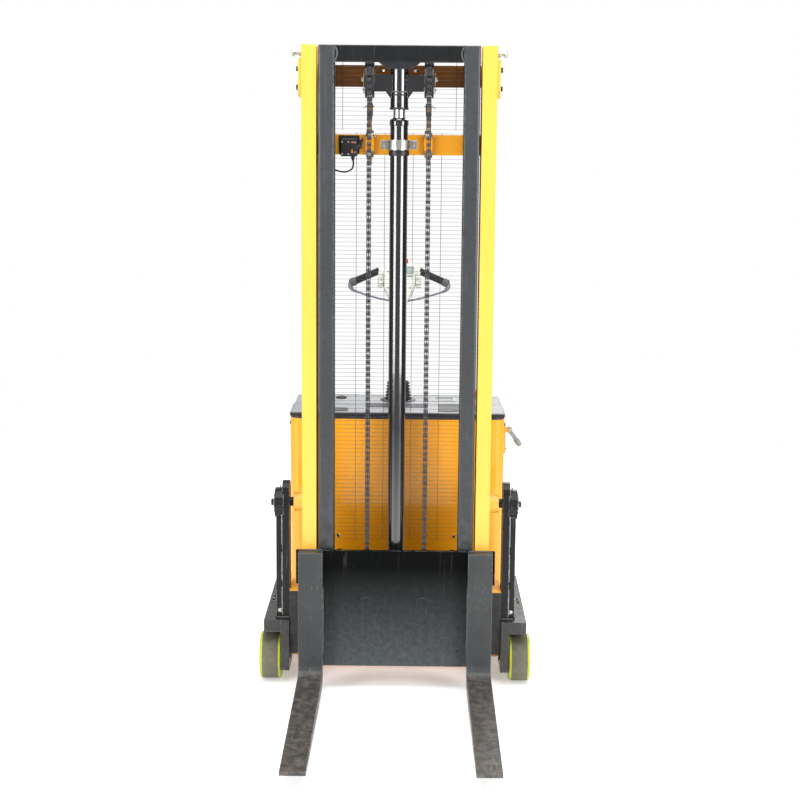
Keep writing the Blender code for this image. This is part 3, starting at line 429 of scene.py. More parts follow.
def smooth_route(points, count):
    """Points at even steps along a smooth curve through the given ones."""
    spots = [Vector(p) for p in points]
    spots = [spots[0] * 2 - spots[1], *spots, spots[-1] * 2 - spots[-2]]
    fine = []
    for a, b, c, d in zip(spots, spots[1:], spots[2:], spots[3:]):
        for step in range(24):
            t = step / 24
            fine.append(0.5 * ((2 * b) + (c - a) * t + (2 * a - 5 * b + 4 * c - d) * t ** 2
                               + (3 * b - a - 3 * c + d) * t ** 3))
    fine.append(spots[-2])
    runs = [0.0]
    for a, b in zip(fine, fine[1:]):
        runs.append(runs[-1] + (b - a).length)
    route, at = [], 0
    for i in range(count):
        goal = runs[-1] * i / (count - 1)
        while at < len(runs) - 2 and runs[at + 1] < goal:
            at += 1
        share = (goal - runs[at]) / max(runs[at + 1] - runs[at], 1e-9)
        route.append(fine[at].lerp(fine[at + 1], min(1.0, share)))
    return route


class Piece:
    """One visible piece, built up from simple shapes. Each shape names its material."""

    def __init__(self, name, place=None):
        self.name, self.bm, self.materials, self.place = name, bmesh.new(), [], place

    def add(self, points, faces, mat, at=None):
        turn = (self.place or Matrix.Identity(4)) @ (at or Matrix.Identity(4))
        corners = [self.bm.verts.new(turn @ Vector(p)) for p in points]
        if mat not in self.materials:
            self.materials.append(mat)
        index = self.materials.index(mat)
        for face in faces:
            made = self.bm.faces.new([corners[i] for i in face])
            made.material_index, made.smooth = index, True

    def loft(self, rings, mat, at=None, closed=False, caps=True):
        """A skin over rings of equal length."""
        size = len(rings[0])
        points = [p for ring in rings for p in ring]
        faces = []
        last = len(rings) if closed else len(rings) - 1
        for r in range(last):
            a, b = r * size, ((r + 1) % len(rings)) * size
            faces += [(a + i, a + (i + 1) % size, b + (i + 1) % size, b + i) for i in range(size)]
        if caps and not closed:
            faces.append(tuple(reversed(range(size))))
            faces.append(tuple(range((len(rings) - 1) * size, len(rings) * size)))
        self.add(points, faces, mat, at)

    def block(self, low, high, mat, edge=0.001, at=None):
        """A box with chamfered edges."""
        low, high = Vector(low), Vector(high)
        middle, half = (low + high) / 2, (high - low) / 2
        edge = min(edge, *(abs(h) * 0.45 for h in half))
        rings = []
        for z, inset in ((-half.z, edge), (-half.z + edge, 0.0), (half.z - edge, 0.0), (half.z, edge)):
            x, y = half.x - inset, half.y - inset
            c = edge * 0.6
            ring = [(-x + c, -y), (x - c, -y), (x, -y + c), (x, y - c), (x - c, y), (-x + c, y), (-x, y - c),
                    (-x, -y + c)]
            rings.append([(middle.x + a, middle.y + b, middle.z + z) for a, b in ring])
        self.loft(rings, mat, at)

    def rod(self, start, end, radius, mat, sides=16, edge=0.0006, tip=None, at=None):
        """A round bar with chamfered ends; tip is the radius at its far end."""
        start, end = Vector(start), Vector(end)
        length = (end - start).length
        tip = radius if tip is None else tip
        edge = min(edge, length * 0.3, radius * 0.5)
        profile = [(radius - edge, 0.0), (radius, edge), (tip, length - edge), (max(tip - edge, 1e-5), length)]
        self.turned(profile, mat, frame_along(start, end - start), sides, at)

    def turned(self, profile, mat, place, sides=24, at=None, closed=False, turn=0.0):
        """A profile of (radius, height) turned round the local Z of place."""
        rings = []
        for radius, height in profile:
            rings.append([(radius * math.cos(math.tau * i / sides + turn),
                           radius * math.sin(math.tau * i / sides + turn),
                           height) for i in range(sides)])
        self.loft(rings, mat, (at or Matrix.Identity(4)) @ place, closed)

    def prism(self, outline, plane, levels, mat, edge=0.0, at=None):
        """A flat outline given thickness, with a chamfer towards its middle if edge is set."""
        to_world = PLANES[plane]
        low, high = min(levels), max(levels)
        centre = (sum(p[0] for p in outline) / len(outline), sum(p[1] for p in outline) / len(outline))
        reach = max(math.dist(p, centre) for p in outline)
        stations = [(low, 0.0), (high, 0.0)]
        if edge:
            stations = [(low, edge), (low + edge, 0.0), (high - edge, 0.0), (high, edge)]
        rings = []
        for level, inset in stations:
            k = 1 - inset / reach
            rings.append([to_world(centre[0] + (a - centre[0]) * k, centre[1] + (b - centre[1]) * k, level)
                          for a, b in outline])
        self.loft(rings, mat, at)

    def tube(self, route, radius, mat, sides=8, at=None):
        """A round bar along a route; radius is a number or a list with one for each point."""
        spots = [Vector(p) for p in route]
        radii = radius if isinstance(radius, (list, tuple)) else [radius] * len(spots)
        rings, side = [], None
        for i, spot in enumerate(spots):
            ahead = (spots[min(i + 1, len(spots) - 1)] - spots[max(i - 1, 0)]).normalized()
            if side is None:
                side = ahead.orthogonal().normalized()
            side = (side - ahead * side.dot(ahead)).normalized()
            other = ahead.cross(side)
            rings.append([tuple(spot + (side * math.cos(math.tau * k / sides) + other * math.sin(math.tau * k / sides))
                                * radii[i]) for k in range(sides)])
        self.loft(rings, mat, at)

    def bolt(self, seat, direction, size, mat, washer=None, sides=6, socket=False, at=None):
        """A bolt head on its washer: size is the head's radius."""
        place = frame_along(seat, direction)
        foot = 0.0
        if washer:
            foot = size * 0.22
            self.turned([(size * 0.55, 0.0), (size * 1.35, 0.0), (size * 1.4, foot * 0.5), (size * 1.3, foot),
                         (size * 0.55, foot)], washer, place, 20, at)
        top = foot + size * 0.75
        if socket:
            profile = [(size * 0.98, foot), (size, foot + size * 0.1), (size, top - size * 0.15),
                       (size * 0.88, top)]
            self.turned(profile, mat, place, 20, at)
            self.turned([(size * 0.5, top - size * 0.1), (size * 0.5, top + size * 0.02)], DARK[0], place, 6, at)
        else:
            profile = [(size * 0.96, foot), (size, foot + size * 0.12), (size, top - size * 0.16),
                       (size * 0.86, top)]
            self.turned(profile, mat, place, sides, at, turn=DICE.random())

    def bead(self, start, end, radius, mat, at=None):
        """A weld bead: a rippled bar along a straight joint."""
        start, end = Vector(start), Vector(end)
        count = max(6, int((end - start).length / (radius * 0.55)))
        route = [start.lerp(end, i / count) for i in range(count + 1)]
        radii = [radius * (0.82 + 0.18 * (i % 2) + DICE.uniform(-0.06, 0.06)) for i in range(count + 1)]
        radii[0] = radii[-1] = radius * 0.4
        self.tube(route, radii, mat, 8, at)

    def done(self, body, replaces=(), sharp=34.0):
        data = bpy.data.meshes.new(self.name)
        bmesh.ops.recalc_face_normals(self.bm, faces=self.bm.faces)
        self.bm.to_mesh(data)
        self.bm.free()
        for mat in self.materials:
            data.materials.append(mat)
        data.set_sharp_from_angle(angle=math.radians(sharp))
        obj = link(bpy.data.objects.new(self.name, data))
        if body:
            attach(obj, body)
        if replaces:
            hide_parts(*replaces)
        return obj


DARK = []


def dress(material, *names):
    """Gives carried-over CAD nodes their finish."""
    for name in names:
        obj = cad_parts[name]
        if not obj.material_slots:
            obj.data.materials.append(material)
        for slot in obj.material_slots:
            slot.material = material


# ---------------------------------------------------------------- mast

RAM_Y = 0.110
SHEAVE_X, SHEAVE_Z = 0.090, 1.910


def thread(piece, start, end, radius, mat, pitch=0.0016, sides=12):
    """A screw thread, as a stack of ridges."""
    start, end = Vector(start), Vector(end)
    length = (end - start).length
    count = int(length / pitch)
    profile = [(radius * 0.7, 0.0)]
    for i in range(count):
        profile += [(radius * 0.88, (i + 0.1) * length / count), (radius, (i + 0.5) * length / count)]
    profile.append((radius * 0.7, length))
    piece.turned(profile, mat, frame_along(start, end - start), sides)


def wire_guard():
    """The welded mesh between the mast and the operator, in two panels hung on the mast."""
    y, wire, pitch = 0.185, 0.00045, 0.0129
    guard = Piece("mast_guard_wires")
    panels = ((1.7615, 1.9640, (-0.175, 0.175)), (0.4560, 1.7480, (-0.132, -0.044, 0.044, 0.132)))
    for low, high, uprights in panels:
        half = 0.272
        rows = int((high - low) / pitch)
        for i in range(rows + 1):
            z = low + (high - low) * i / rows
            guard.rod((-half, y, z), (half, y, z), wire, M["wire"], 6, 0.0002)
        for x in (*uprights, -half, half):
            thick = 0.0015
            guard.rod((x, y - 0.0019, low - 0.003), (x, y - 0.0019, high + 0.003),
                      thick if abs(x) > 0.27 else 0.0007,
                      M["wire"], 6, 0.0003)
    guard.done("chassis", ["mast_guard"])
    clips = Piece("mast_guard_clips")
    for _, side in SIDES:
        for z in (0.470, 0.900, 1.330, 1.735, 1.775, 1.950):
            x = side * 0.2620
            clips.block((x - 0.009, 0.1662, z - 0.006), (x + 0.009, 0.1680, z + 0.006), M["steel"], 0.0005)
            clips.rod((x, 0.168, z), (x, 0.1836, z), 0.0030, M["steel"], 10)
            clips.bolt((x, 0.1868, z), (0, 1, 0), 0.0048, M["steel"], M["steel"])
        clips.bolt((side * 0.186, 0.1822, 0.466), (0, -1, 0), 0.0042, M["bolt_dark"], M["steel"])
    clips.done("chassis")


def mast_hardware():
    dress(M["mast_yellow"], "mast_channel_left", "mast_channel_right")
    # the top crossmember's forward faces carry painted shade
    dress(M["front_shaded_amber"], "crossmember_top")
    dress(M["panel_yellow"], "crossmember_mid")
    work = Piece("mast_fixings")
    for _, side in SIDES:
        # adjuster: lock nut, thread and hexagon head
        place, out = (side * 0.2945, 0.098, 1.987), (side, 0, 0)
        work.bolt(place, out, 0.0105, M["steel"], M["steel"])
        thread(work, (side * 0.3035, 0.098, 1.987), (side * 0.3175, 0.098, 1.987), 0.0060, M["steel"])
        work.bolt((side * 0.3165, 0.098, 1.987), out, 0.0110, M["steel"])
        for z in (1.885, 1.940):
            work.bolt((side * 0.3044, 0.105, z), out, 0.0085, M["bolt_dark"], M["steel"])
        # beads round the cheek plate and under the foot bracket
        face = side * 0.2950
        for start, end in (((face, 0.060, 1.9705), (face, 0.150, 1.9705)),
                           ((face, 0.1505, 1.860), (face, 0.1505, 1.966))):
            work.bead(start, end, 0.0028, M["mast_yellow"])
        work.bead((side * 0.2953, 0.103, 0.3062), (side * 0.2953, 0.162, 0.3062), 0.0032, M["mast_yellow"])
        work.bead((side * 0.2953, 0.0990, 0.110), (side * 0.2953, 0.0990, 0.300), 0.0030, M["mast_yellow"])
        for z in (0.330, 0.430):
            work.bolt((side * 0.2860, 0.0549, z), (0, -1, 0), 0.0050, M["bolt_dark"])
        # ring weld round the pin boss
        ring = [(side * 0.2955, 0.147 + 0.0308 * math.cos(a), 0.586 + 0.0308 * math.sin(a))
                for a in [math.tau * i / 40 for i in range(41)]]
        work.tube(ring, [0.0022 + 0.0004 * (i % 2) for i in range(41)], M["mast_yellow"], 6)
    for x in (-0.262, 0.262):
        for z in (1.908, 1.936):
            work.bolt((x, 0.2003, z), (0, 1, 0), 0.0078, M["bolt_dark"], M["steel"])
    for x in (-0.272, 0.272):
        for z in (1.700, 1.728):
            work.bolt((x, 0.1793, z), (0, 1, 0), 0.0065, M["bolt_dark"], M["steel"])
    work.done("chassis")


def anchors_and_clamp():
    """Chain anchors on the middle crossmember, the cylinder's clamp bolts and neck rings."""
    rear = RAM_Y + 0.04765
    work = Piece("chain_anchor_studs")
    for _, side in SIDES:
        x = side * SHEAVE_X
        thread(work, (x, rear, 1.6545), (x, rear, 1.8010), 0.0075, M["steel"], 0.0018)
        for z, way in ((1.6945, -1), (1.6835, -1), (1.7375, 1), (1.7485, 1)):
            work.bolt((x, rear, z), (0, 0, way), 0.0125, M["steel"], M["steel"] if abs(z - 1.716) < 0.023 else None)
        # fork end with its pin and split pin
        work.rod((x, rear, 1.790), (x, rear, 1.806), 0.0072, M["chain_steel"], 16, 0.0015)
        for way in (-1, 1):
            work.block((x + way * 0.0071, rear - 0.0085, 1.802), (x + way * 0.0088, rear + 0.0085, 1.8385),
                       M["chain_steel"])
        work.block((x - 0.0085, rear - 0.0080, 1.802), (x + 0.0085, rear + 0.0080, 1.8100), M["chain_steel"])
        work.rod((x - 0.0130, rear, 1.8300), (x + 0.0130, rear, 1.8300), 0.0026, M["steel"], 10)
        pin = [(x + side * 0.0118, rear - 0.006, 1.8300), (x + side * 0.0122, rear, 1.8296),
               (x + side * 0.0150, rear + 0.005, 1.8270), (x + side * 0.0210, rear + 0.004, 1.8240)]
        work.tube(smooth_route(pin, 10), 0.0009, M["steel"], 6)
        work.tube(smooth_route([(a - side * 0.0004, b - 0.001, c + 0.002) for a, b, c in pin], 10), 0.0009,
                  M["steel"], 6)
    work.done("chassis")
    clamp = Piece("cylinder_clamp_bolts")
    for _, side in SIDES:
        for z in (1.7075, 1.7225):
            clamp.bolt((side * 0.0470, RAM_Y - 0.0042, z), (0, -1, 0), 0.0052, M["steel"], M["steel"])
            thread(clamp, (side * 0.0470, RAM_Y + 0.0121, z), (side * 0.0470, RAM_Y + 0.0215, z), 0.0030,
                   M["steel"])
            clamp.bolt((side * 0.0470, RAM_Y + 0.0122, z), (0, 1, 0), 0.0052, M["steel"])
    place = frame_along((0, RAM_Y, 0), (0, 0, 1))
    clamp.turned([(0.0272, 1.682), (0.0305, 1.682), (0.0315, 1.686), (0.0315, 1.694), (0.0305, 1.6985),
                  (0.0272, 1.6985)],
                 M["bolt_dark"], place, 32, closed=True)
    clamp.done("chassis")
    neck = Piece("cylinder_gland")
    neck.turned([(0.0186, 1.7720), (0.0282, 1.7720), (0.0288, 1.7735), (0.0288, 1.7875), (0.0275, 1.7905),
                 (0.0215, 1.7935), (0.0186, 1.7925)], M["gloss_black"], place, 40, closed=True)
    neck.turned([(0.0182, 1.7935), (0.0206, 1.7935), (0.0200, 1.7965), (0.0182, 1.7960)], M["rubber"], place, 32,
                closed=True)
    for angle in (0.4, 2.5, 4.6):
        spot = (0.0287 * math.cos(angle), RAM_Y + 0.0287 * math.sin(angle), 1.7805)
        neck.bolt(spot, (math.cos(angle), math.sin(angle), 0), 0.0016, M["bolt_dark"], socket=False)
    # foot: bead on the base plate
    ring = [(0.0285 * math.cos(a), RAM_Y + 0.0285 * math.sin(a),
             0.1115) for a in [math.tau * i / 36 for i in range(37)]]
    neck.tube(ring, [0.0026 + 0.0005 * (i % 2) for i in range(37)], M["weld"], 6)
    neck.done("chassis")
    dress(M["gloss_black"], "lift_cylinder")
    dress(M["steel"], "cylinder_clamp")
    dress(M["chrome"], "lift_ram")


def lift_hose():
    """The pressure hose from the cylinder's foot to the pump unit; both ends are held."""
    hose = Piece("lift_hose")
    route = smooth_route([(-0.040, 0.118, 0.1215), (-0.062, 0.124, 0.1212), (-0.086, 0.142, 0.1212),
                          (-0.095, 0.170, 0.1230), (-0.096, 0.190, 0.1400), (-0.095, 0.202, 0.1850),
                          (-0.094, 0.222, 0.2170), (-0.092, 0.252, 0.2225), (-0.090, 0.272, 0.2225)], 60)
    hose.tube(route, 0.0058, M["rubber"], 12)
    hose.done("chassis")
    ends = Piece("lift_hose_ends")
    ends.bolt((-0.0262, 0.1135, 0.1215), (-1, 0.22, 0), 0.0085, M["steel"])
    ends.rod((-0.0310, 0.1150, 0.1215), (-0.0480, 0.1190, 0.1215), 0.0068, M["steel"], 16)
    ends.rod((-0.0900, 0.2640, 0.2225), (-0.0900, 0.2830, 0.2225), 0.0068, M["steel"], 16)
    ends.bolt((-0.0900, 0.2900, 0.2225), (0, -1, 0), 0.0088, M["steel"])
    ends.done("chassis")


def limit_switch():
    dress(M["black_plastic"], "limit_switch")
    work = Piece("limit_switch_fittings")
    face = 0.1400
    for x in (-0.1750, -0.1560):
        for z in (1.6850, 1.7220):
            work.bolt((x, face, z), (0, -1, 0), 0.0032, M["steel"], sides=12)
    work.prism(rectangle((-0.1500, 1.6840), (-0.1310, 1.7270), 0.003), "XZ", (face - 0.0016, face + 0.002),
               M["black_plastic"], 0.0006)
    work.block((-0.1470, face - 0.0022, 1.7190), (-0.1380, face + 0.002, 1.7230), M["orange"], 0.0005)
    work.block((-0.1470, face - 0.0022, 1.6880), (-0.1420, face + 0.002, 1.6990), M["orange"], 0.0005)
    work.bolt((-0.1350, face - 0.0016, 1.7205), (0, -1, 0), 0.0026, M["steel"], sides=12)
    work.bolt((-0.1350, face - 0.0016, 1.6905), (0, -1, 0), 0.0026, M["steel"], sides=12)
    # plunger and roller lever on the switch's right side
    work.rod((-0.1285, 0.1500, 1.7080), (-0.1200, 0.1500, 1.7080), 0.0055, M["bolt_dark"], 14)
    lean = frame_along((-0.1190, 0.1500, 1.7080), (0.10, 0, 1))
    work.block((-0.0016, -0.0045, -0.006), (0.0016, 0.0045, 0.0200), M["bolt_dark"], 0.0006, at=lean)
    work.turned([(0.0016, 0.0), (0.0058, 0.0), (0.0062, 0.001), (0.0062, 0.006), (0.0058, 0.007), (0.0016, 0.007)],
                M["bolt_dark"], frame_along((-0.1170, 0.1500, 1.7280), (1, 0, 0)), 18)
    # bracket to the crossmember and the cable gland
    work.block((-0.1860, 0.1620, 1.6860), (-0.1220, 0.1652, 1.7420), M["bolt_dark"], 0.0008)
    work.rod((-0.1420, 0.1520, 1.6780), (-0.1420, 0.1520, 1.6710), 0.0060, M["black_plastic"], 12)
    work.rod((-0.1420, 0.1520, 1.6715), (-0.1420, 0.1520, 1.6650), 0.0048, M["rubber"], 12, tip=0.0036)
    work.done("chassis")
    cable = Piece("limit_switch_cable")
    route = smooth_route([(-0.1420, 0.1520, 1.6700), (-0.1405, 0.1550, 1.6540), (-0.1460, 0.1620, 1.6390),
                          (-0.1660, 0.1690, 1.6300), (-0.1930, 0.1715, 1.6340), (-0.2160, 0.1705, 1.6470),
                          (-0.2380, 0.1700, 1.6610), (-0.2560, 0.1690, 1.6690), (-0.2640, 0.1655, 1.6700)], 48)
    cable.tube(route, 0.0026, M["rubber"], 8)
    cable.turned([(0.0027, 0.0), (0.0060, 0.0), (0.0066, 0.001), (0.0056, 0.0026), (0.0027, 0.003)], M["rubber"],
                 frame_along((-0.2640, 0.1651, 1.6700), (0, 1, 0)), 16)
    cable.done("chassis")


# ---------------------------------------------------------------- lift chains

CHAIN_PITCH, CHAIN_RADIUS = 0.01905, 0.04765
CHAIN_FOOT, CHAIN_REAR_FOOT = 0.4403, 1.8303


def chain_spot(run):
    """The point on a chain's centre line that is run metres up from the carriage."""
    rise = SHEAVE_Z - CHAIN_FOOT
    turn = math.pi * CHAIN_RADIUS
    if run < rise:
        return Vector((0.0, RAM_Y - CHAIN_RADIUS, CHAIN_FOOT + run))
    if run < rise + turn:
        angle = math.pi - (run - rise) / CHAIN_RADIUS
        return Vector((0.0, RAM_Y + CHAIN_RADIUS * math.cos(angle), SHEAVE_Z + CHAIN_RADIUS * math.sin(angle)))
    return Vector((0.0, RAM_Y + CHAIN_RADIUS, SHEAVE_Z - (run - rise - turn)))


def link_outline(reach=0.0084, waist=0.0066, steps=5):
    half = CHAIN_PITCH / 2
    points = []
    for centre, begin in ((half, -40), (-half, 140)):
        for step in range(steps + 1):
            angle = math.radians(begin + 260 * step / steps)
            points.append((reach * math.cos(angle), centre + reach * math.sin(angle)))
        points.append((-waist if centre > 0 else waist, 0.0))
    return points


LINK_PLATES = (                   # X levels of the plates of the two kinds of link, either side of the middle
    ((0.0009, 0.0025), (0.0035, 0.0051)),
    ((-0.0007, 0.0007), (0.0053, 0.0069)),
)


def chain_run(piece, x, first, last):
    """Laced plates and pins between joints first and last, counted from the carriage."""
    outline = link_outline()
    for joint in range(first, last):
        a, b = chain_spot(joint * CHAIN_PITCH), chain_spot((joint + 1) * CHAIN_PITCH)
        along = (b - a).normalized()
        across = along.cross(Vector((1, 0, 0)))
        centre = (a + b) / 2 + Vector((x, 0, 0))
        at = Matrix(((1, 0, 0, centre.x), (0, across.y, along.y, centre.y), (0, across.z, along.z, centre.z),
                     (0, 0, 0, 1)))
        for near, far in LINK_PLATES[joint % 2]:
            for way in (-1, 1) if near > 0 else (1,):
                piece.prism(outline, "YZ", (way * near, way * far), M["chain_steel"], 0.0003, at)
        pin = frame_along(b + Vector((x - 0.0074, 0, 0)), (1, 0, 0))
        piece.turned([(0.0018, 0.0), (0.0030, 0.0004), (0.0030, 0.0144), (0.0018, 0.0148)], M["steel"], pin, 8)


def lift_chains():
    rise_joint = int((SHEAVE_Z - CHAIN_FOOT) / CHAIN_PITCH)
    over_joint = int((SHEAVE_Z - CHAIN_FOOT + math.pi * CHAIN_RADIUS) / CHAIN_PITCH) + 1
    end_joint = over_joint + int((SHEAVE_Z - CHAIN_REAR_FOOT) / CHAIN_PITCH)
    for word, side in SIDES:
        x = side * SHEAVE_X
        front = Piece("chain_front_" + word)
        chain_run(front, x, 0, rise_joint)
        strand = front.done("inner_mast", ["lift_chain_" + word])
        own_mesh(strand)
        over = Piece("chain_over_" + word)
        chain_run(over, x, rise_joint, over_joint)
        over.done("inner_mast")
        rear = Piece("chain_rear_" + word)
        chain_run(rear, x, over_joint, end_joint)
        strand = rear.done(None)
        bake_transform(strand)
        lug = Piece("chain_lug_" + word)
        y = RAM_Y - CHAIN_RADIUS
        for way in (-1, 1):
            lug.block((x + way * 0.0079, y - 0.0090, 0.4200), (x + way * 0.0105, y + 0.0090, 0.4520),
                      M["bolt_dark"])
            lug.rod((x + way * 0.0103, y, 0.4420), (x + way * 0.0128, y, 0.4420), 0.0042, M["steel"], 12)
        lug.done("carriage")


# ---------------------------------------------------------------- inner mast and carriage

def inner_mast():
    dress(M["channel_black"], "inner_channel_left", "inner_channel_right")
    dress(M["frame_black"], "inner_crosshead")
    dress(M["gloss_black"], "sheave_carrier")
    dress(M["bolt_dark"], "sheave_left", "sheave_right")
    work = Piece("inner_mast_fixings")
    for _, side in SIDES:
        # curved weld marks where the crosshead meets the channels
        inside = side * 0.1962
        for z, y in ((1.9608, 0.0552), (2.0088, 0.0552)):
            work.bead((side * 0.1890, y, z), (side * 0.1990, y, z), 0.0016, M["weld"])
        arc = [(inside - side * (0.004 + 0.006 * math.sin(math.pi * i / 10)), 0.0546, 1.9640 + 0.042 * i / 10)
               for i in range(11)]
        work.tube(arc, [0.0012] + [0.0019 + 0.0004 * (i % 2) for i in range(9)] + [0.0012], M["weld"], 6)
        work.bolt((side * 0.050, 0.100, 1.9400), (0, 0, -1), 0.0078, M["steel"], M["steel"])
        work.bolt((side * 0.046, 0.068, 1.9590), (0, 0, -1), 0.0052, M["steel"])
        # lower guide rollers that run in the outer channels
        hub = frame_along((side * 0.2240, RAM_Y, 0.156), (side, 0, 0))
        work.turned([(0.0120, 0.0), (0.0120, 0.0275), (0.0140, 0.0275), (0.0140, 0.0300), (0.0400, 0.0300),
                     (0.0418, 0.0315), (0.0418, 0.0490), (0.0400, 0.0505), (0.0180, 0.0505), (0.0175, 0.0480),
                     (0.0060, 0.0480)], M["steel"], hub, 32)
        for z in (0.150, 0.172):
            work.bead((side * 0.1962, 0.1484, z - 0.008), (side * 0.1962, 0.1484, z + 0.008), 0.0022, M["weld"])
    tie = [(-0.1962, 0.1488), (0.1962, 0.1488), (0.1962, 0.1580), (-0.1962, 0.1580)]
    work.prism(tie, "XY", (0.135, 0.185), M["frame_black"], 0.001)
    work.done("inner_mast")
    keep = Piece("sheave_keepers")
    for _, side in SIDES:
        at = 0.1067
        outline = round_outline([(RAM_Y - 0.015, 1.868), (RAM_Y + 0.015, 1.868), (RAM_Y + 0.012, 1.930),
                                 (RAM_Y - 0.012, 1.930)], 0.010)
        keep.prism(outline, "YZ", (side * at, side * (at + 0.0022)), M["bronze"], 0.0005)
        keep.bolt((side * (at + 0.0022), RAM_Y, SHEAVE_Z), (side, 0, 0), 0.0068, M["steel"], M["steel"])
        keep.bolt((side * (at + 0.0022), RAM_Y, 1.879), (side, 0, 0), 0.0034, M["bolt_dark"])
        for y in (-0.011, 0.011):
            keep.rod((side * 0.0742, RAM_Y + y, 1.882), (side * 0.0752, RAM_Y + y, 1.882), 0.004, M["bronze"], 12)
        inner = side * 0.0760
        ring = frame_along((inner - side * 0.0012, RAM_Y, SHEAVE_Z), (side, 0, 0))
        keep.turned([(0.0102, 0.0), (0.0180, 0.0), (0.0180, 0.0016), (0.0102, 0.0016)], M["bronze"], ring, 28,
                    closed=True)
    keep.done("inner_mast")
    sleeve = Piece("ram_sleeve_rings")
    place = frame_along((0, RAM_Y, 0), (0, 0, 1))
    for low, high in ((1.8205, 1.8270), (1.8620, 1.8665)):
        sleeve.turned([(0.0268, low), (0.0282, low), (0.0288, low + 0.001), (0.0288, high - 0.001), (0.0282, high),
                       (0.0268, high)], M["bolt_dark"], place, 36, closed=True)
    sleeve.bolt((0.0, RAM_Y - 0.0270, 1.8440), (0, -1, 0), 0.0038, M["bolt_dark"], socket=True)
    sleeve.bead((-0.024, RAM_Y - 0.0285, 1.8735), (0.024, RAM_Y - 0.0285, 1.8735), 0.0022, M["weld"])
    sleeve.done("inner_mast")


def carriage():
    dress(M["plate_black"], "carriage_plate", "carriage_side_left", "carriage_side_right")
    dress(M["fork_black"], "fork_left", "fork_right")
    dress(M["steel"], "carriage_roller_left", "carriage_roller_right")
    face = 0.0351
    work = Piece("carriage_fixings")
    for _, side in SIDES:
        x = side * 0.090
        scar = [(x - 0.0200 + 0.040 * i / 14, face, 0.296 + 0.0075 * math.sin(math.pi * i / 14)) for i in range(15)]
        work.tube(scar, [0.0006] + [0.0009] * 13 + [0.0006], M["bolt_dark"], 6)
        for z in (0.160, 0.400):
            ring = frame_along((side * 0.2125, 0.1075, z), (side, 0, 0))
            work.turned([(0.0080, -0.0005), (0.0150, -0.0005), (0.0150, 0.0008), (0.0080, 0.0008)], M["bolt_dark"],
                        ring,
                        24, closed=True)
        lower = frame_along((side * 0.203, 0.1075, 0.160), (1, 0, 0))
        work.turned([(0.0130, -0.0070), (0.0200, -0.0070), (0.0210, -0.0085), (0.0385, -0.0085), (0.0395, -0.0070),
                     (0.0395, 0.0070), (0.0385, 0.0085), (0.0210, 0.0085), (0.0200, 0.0070), (0.0130, 0.0070)],
                    M["steel"], lower, 36, closed=True)
        inner, outer = side * 0.1720, side * 0.1863
        for edge in (inner - side * 0.0008, outer):
            work.bead((edge, 0.0492, 0.128), (edge, 0.0492, 0.432), 0.0024, M["weld"])
        for edge in (side * 0.2278, side * 0.3042):
            work.bead((edge, 0.0348, 0.115), (edge, 0.0348, 0.335), 0.0022, M["weld"])
        work.bead((side * 0.2300, 0.0353, 0.4568), (side * 0.3020, 0.0353, 0.4568), 0.0020, M["weld"])
    work.bolt((0.196, face, 0.128), (0, -1, 0), 0.0034, M["bolt_dark"], socket=False, sides=14)
    work.done("carriage")


# ---------------------------------------------------------------- legs, posts and load wheels

WHEEL_Y, WHEEL_Z = 0.147, 0.075


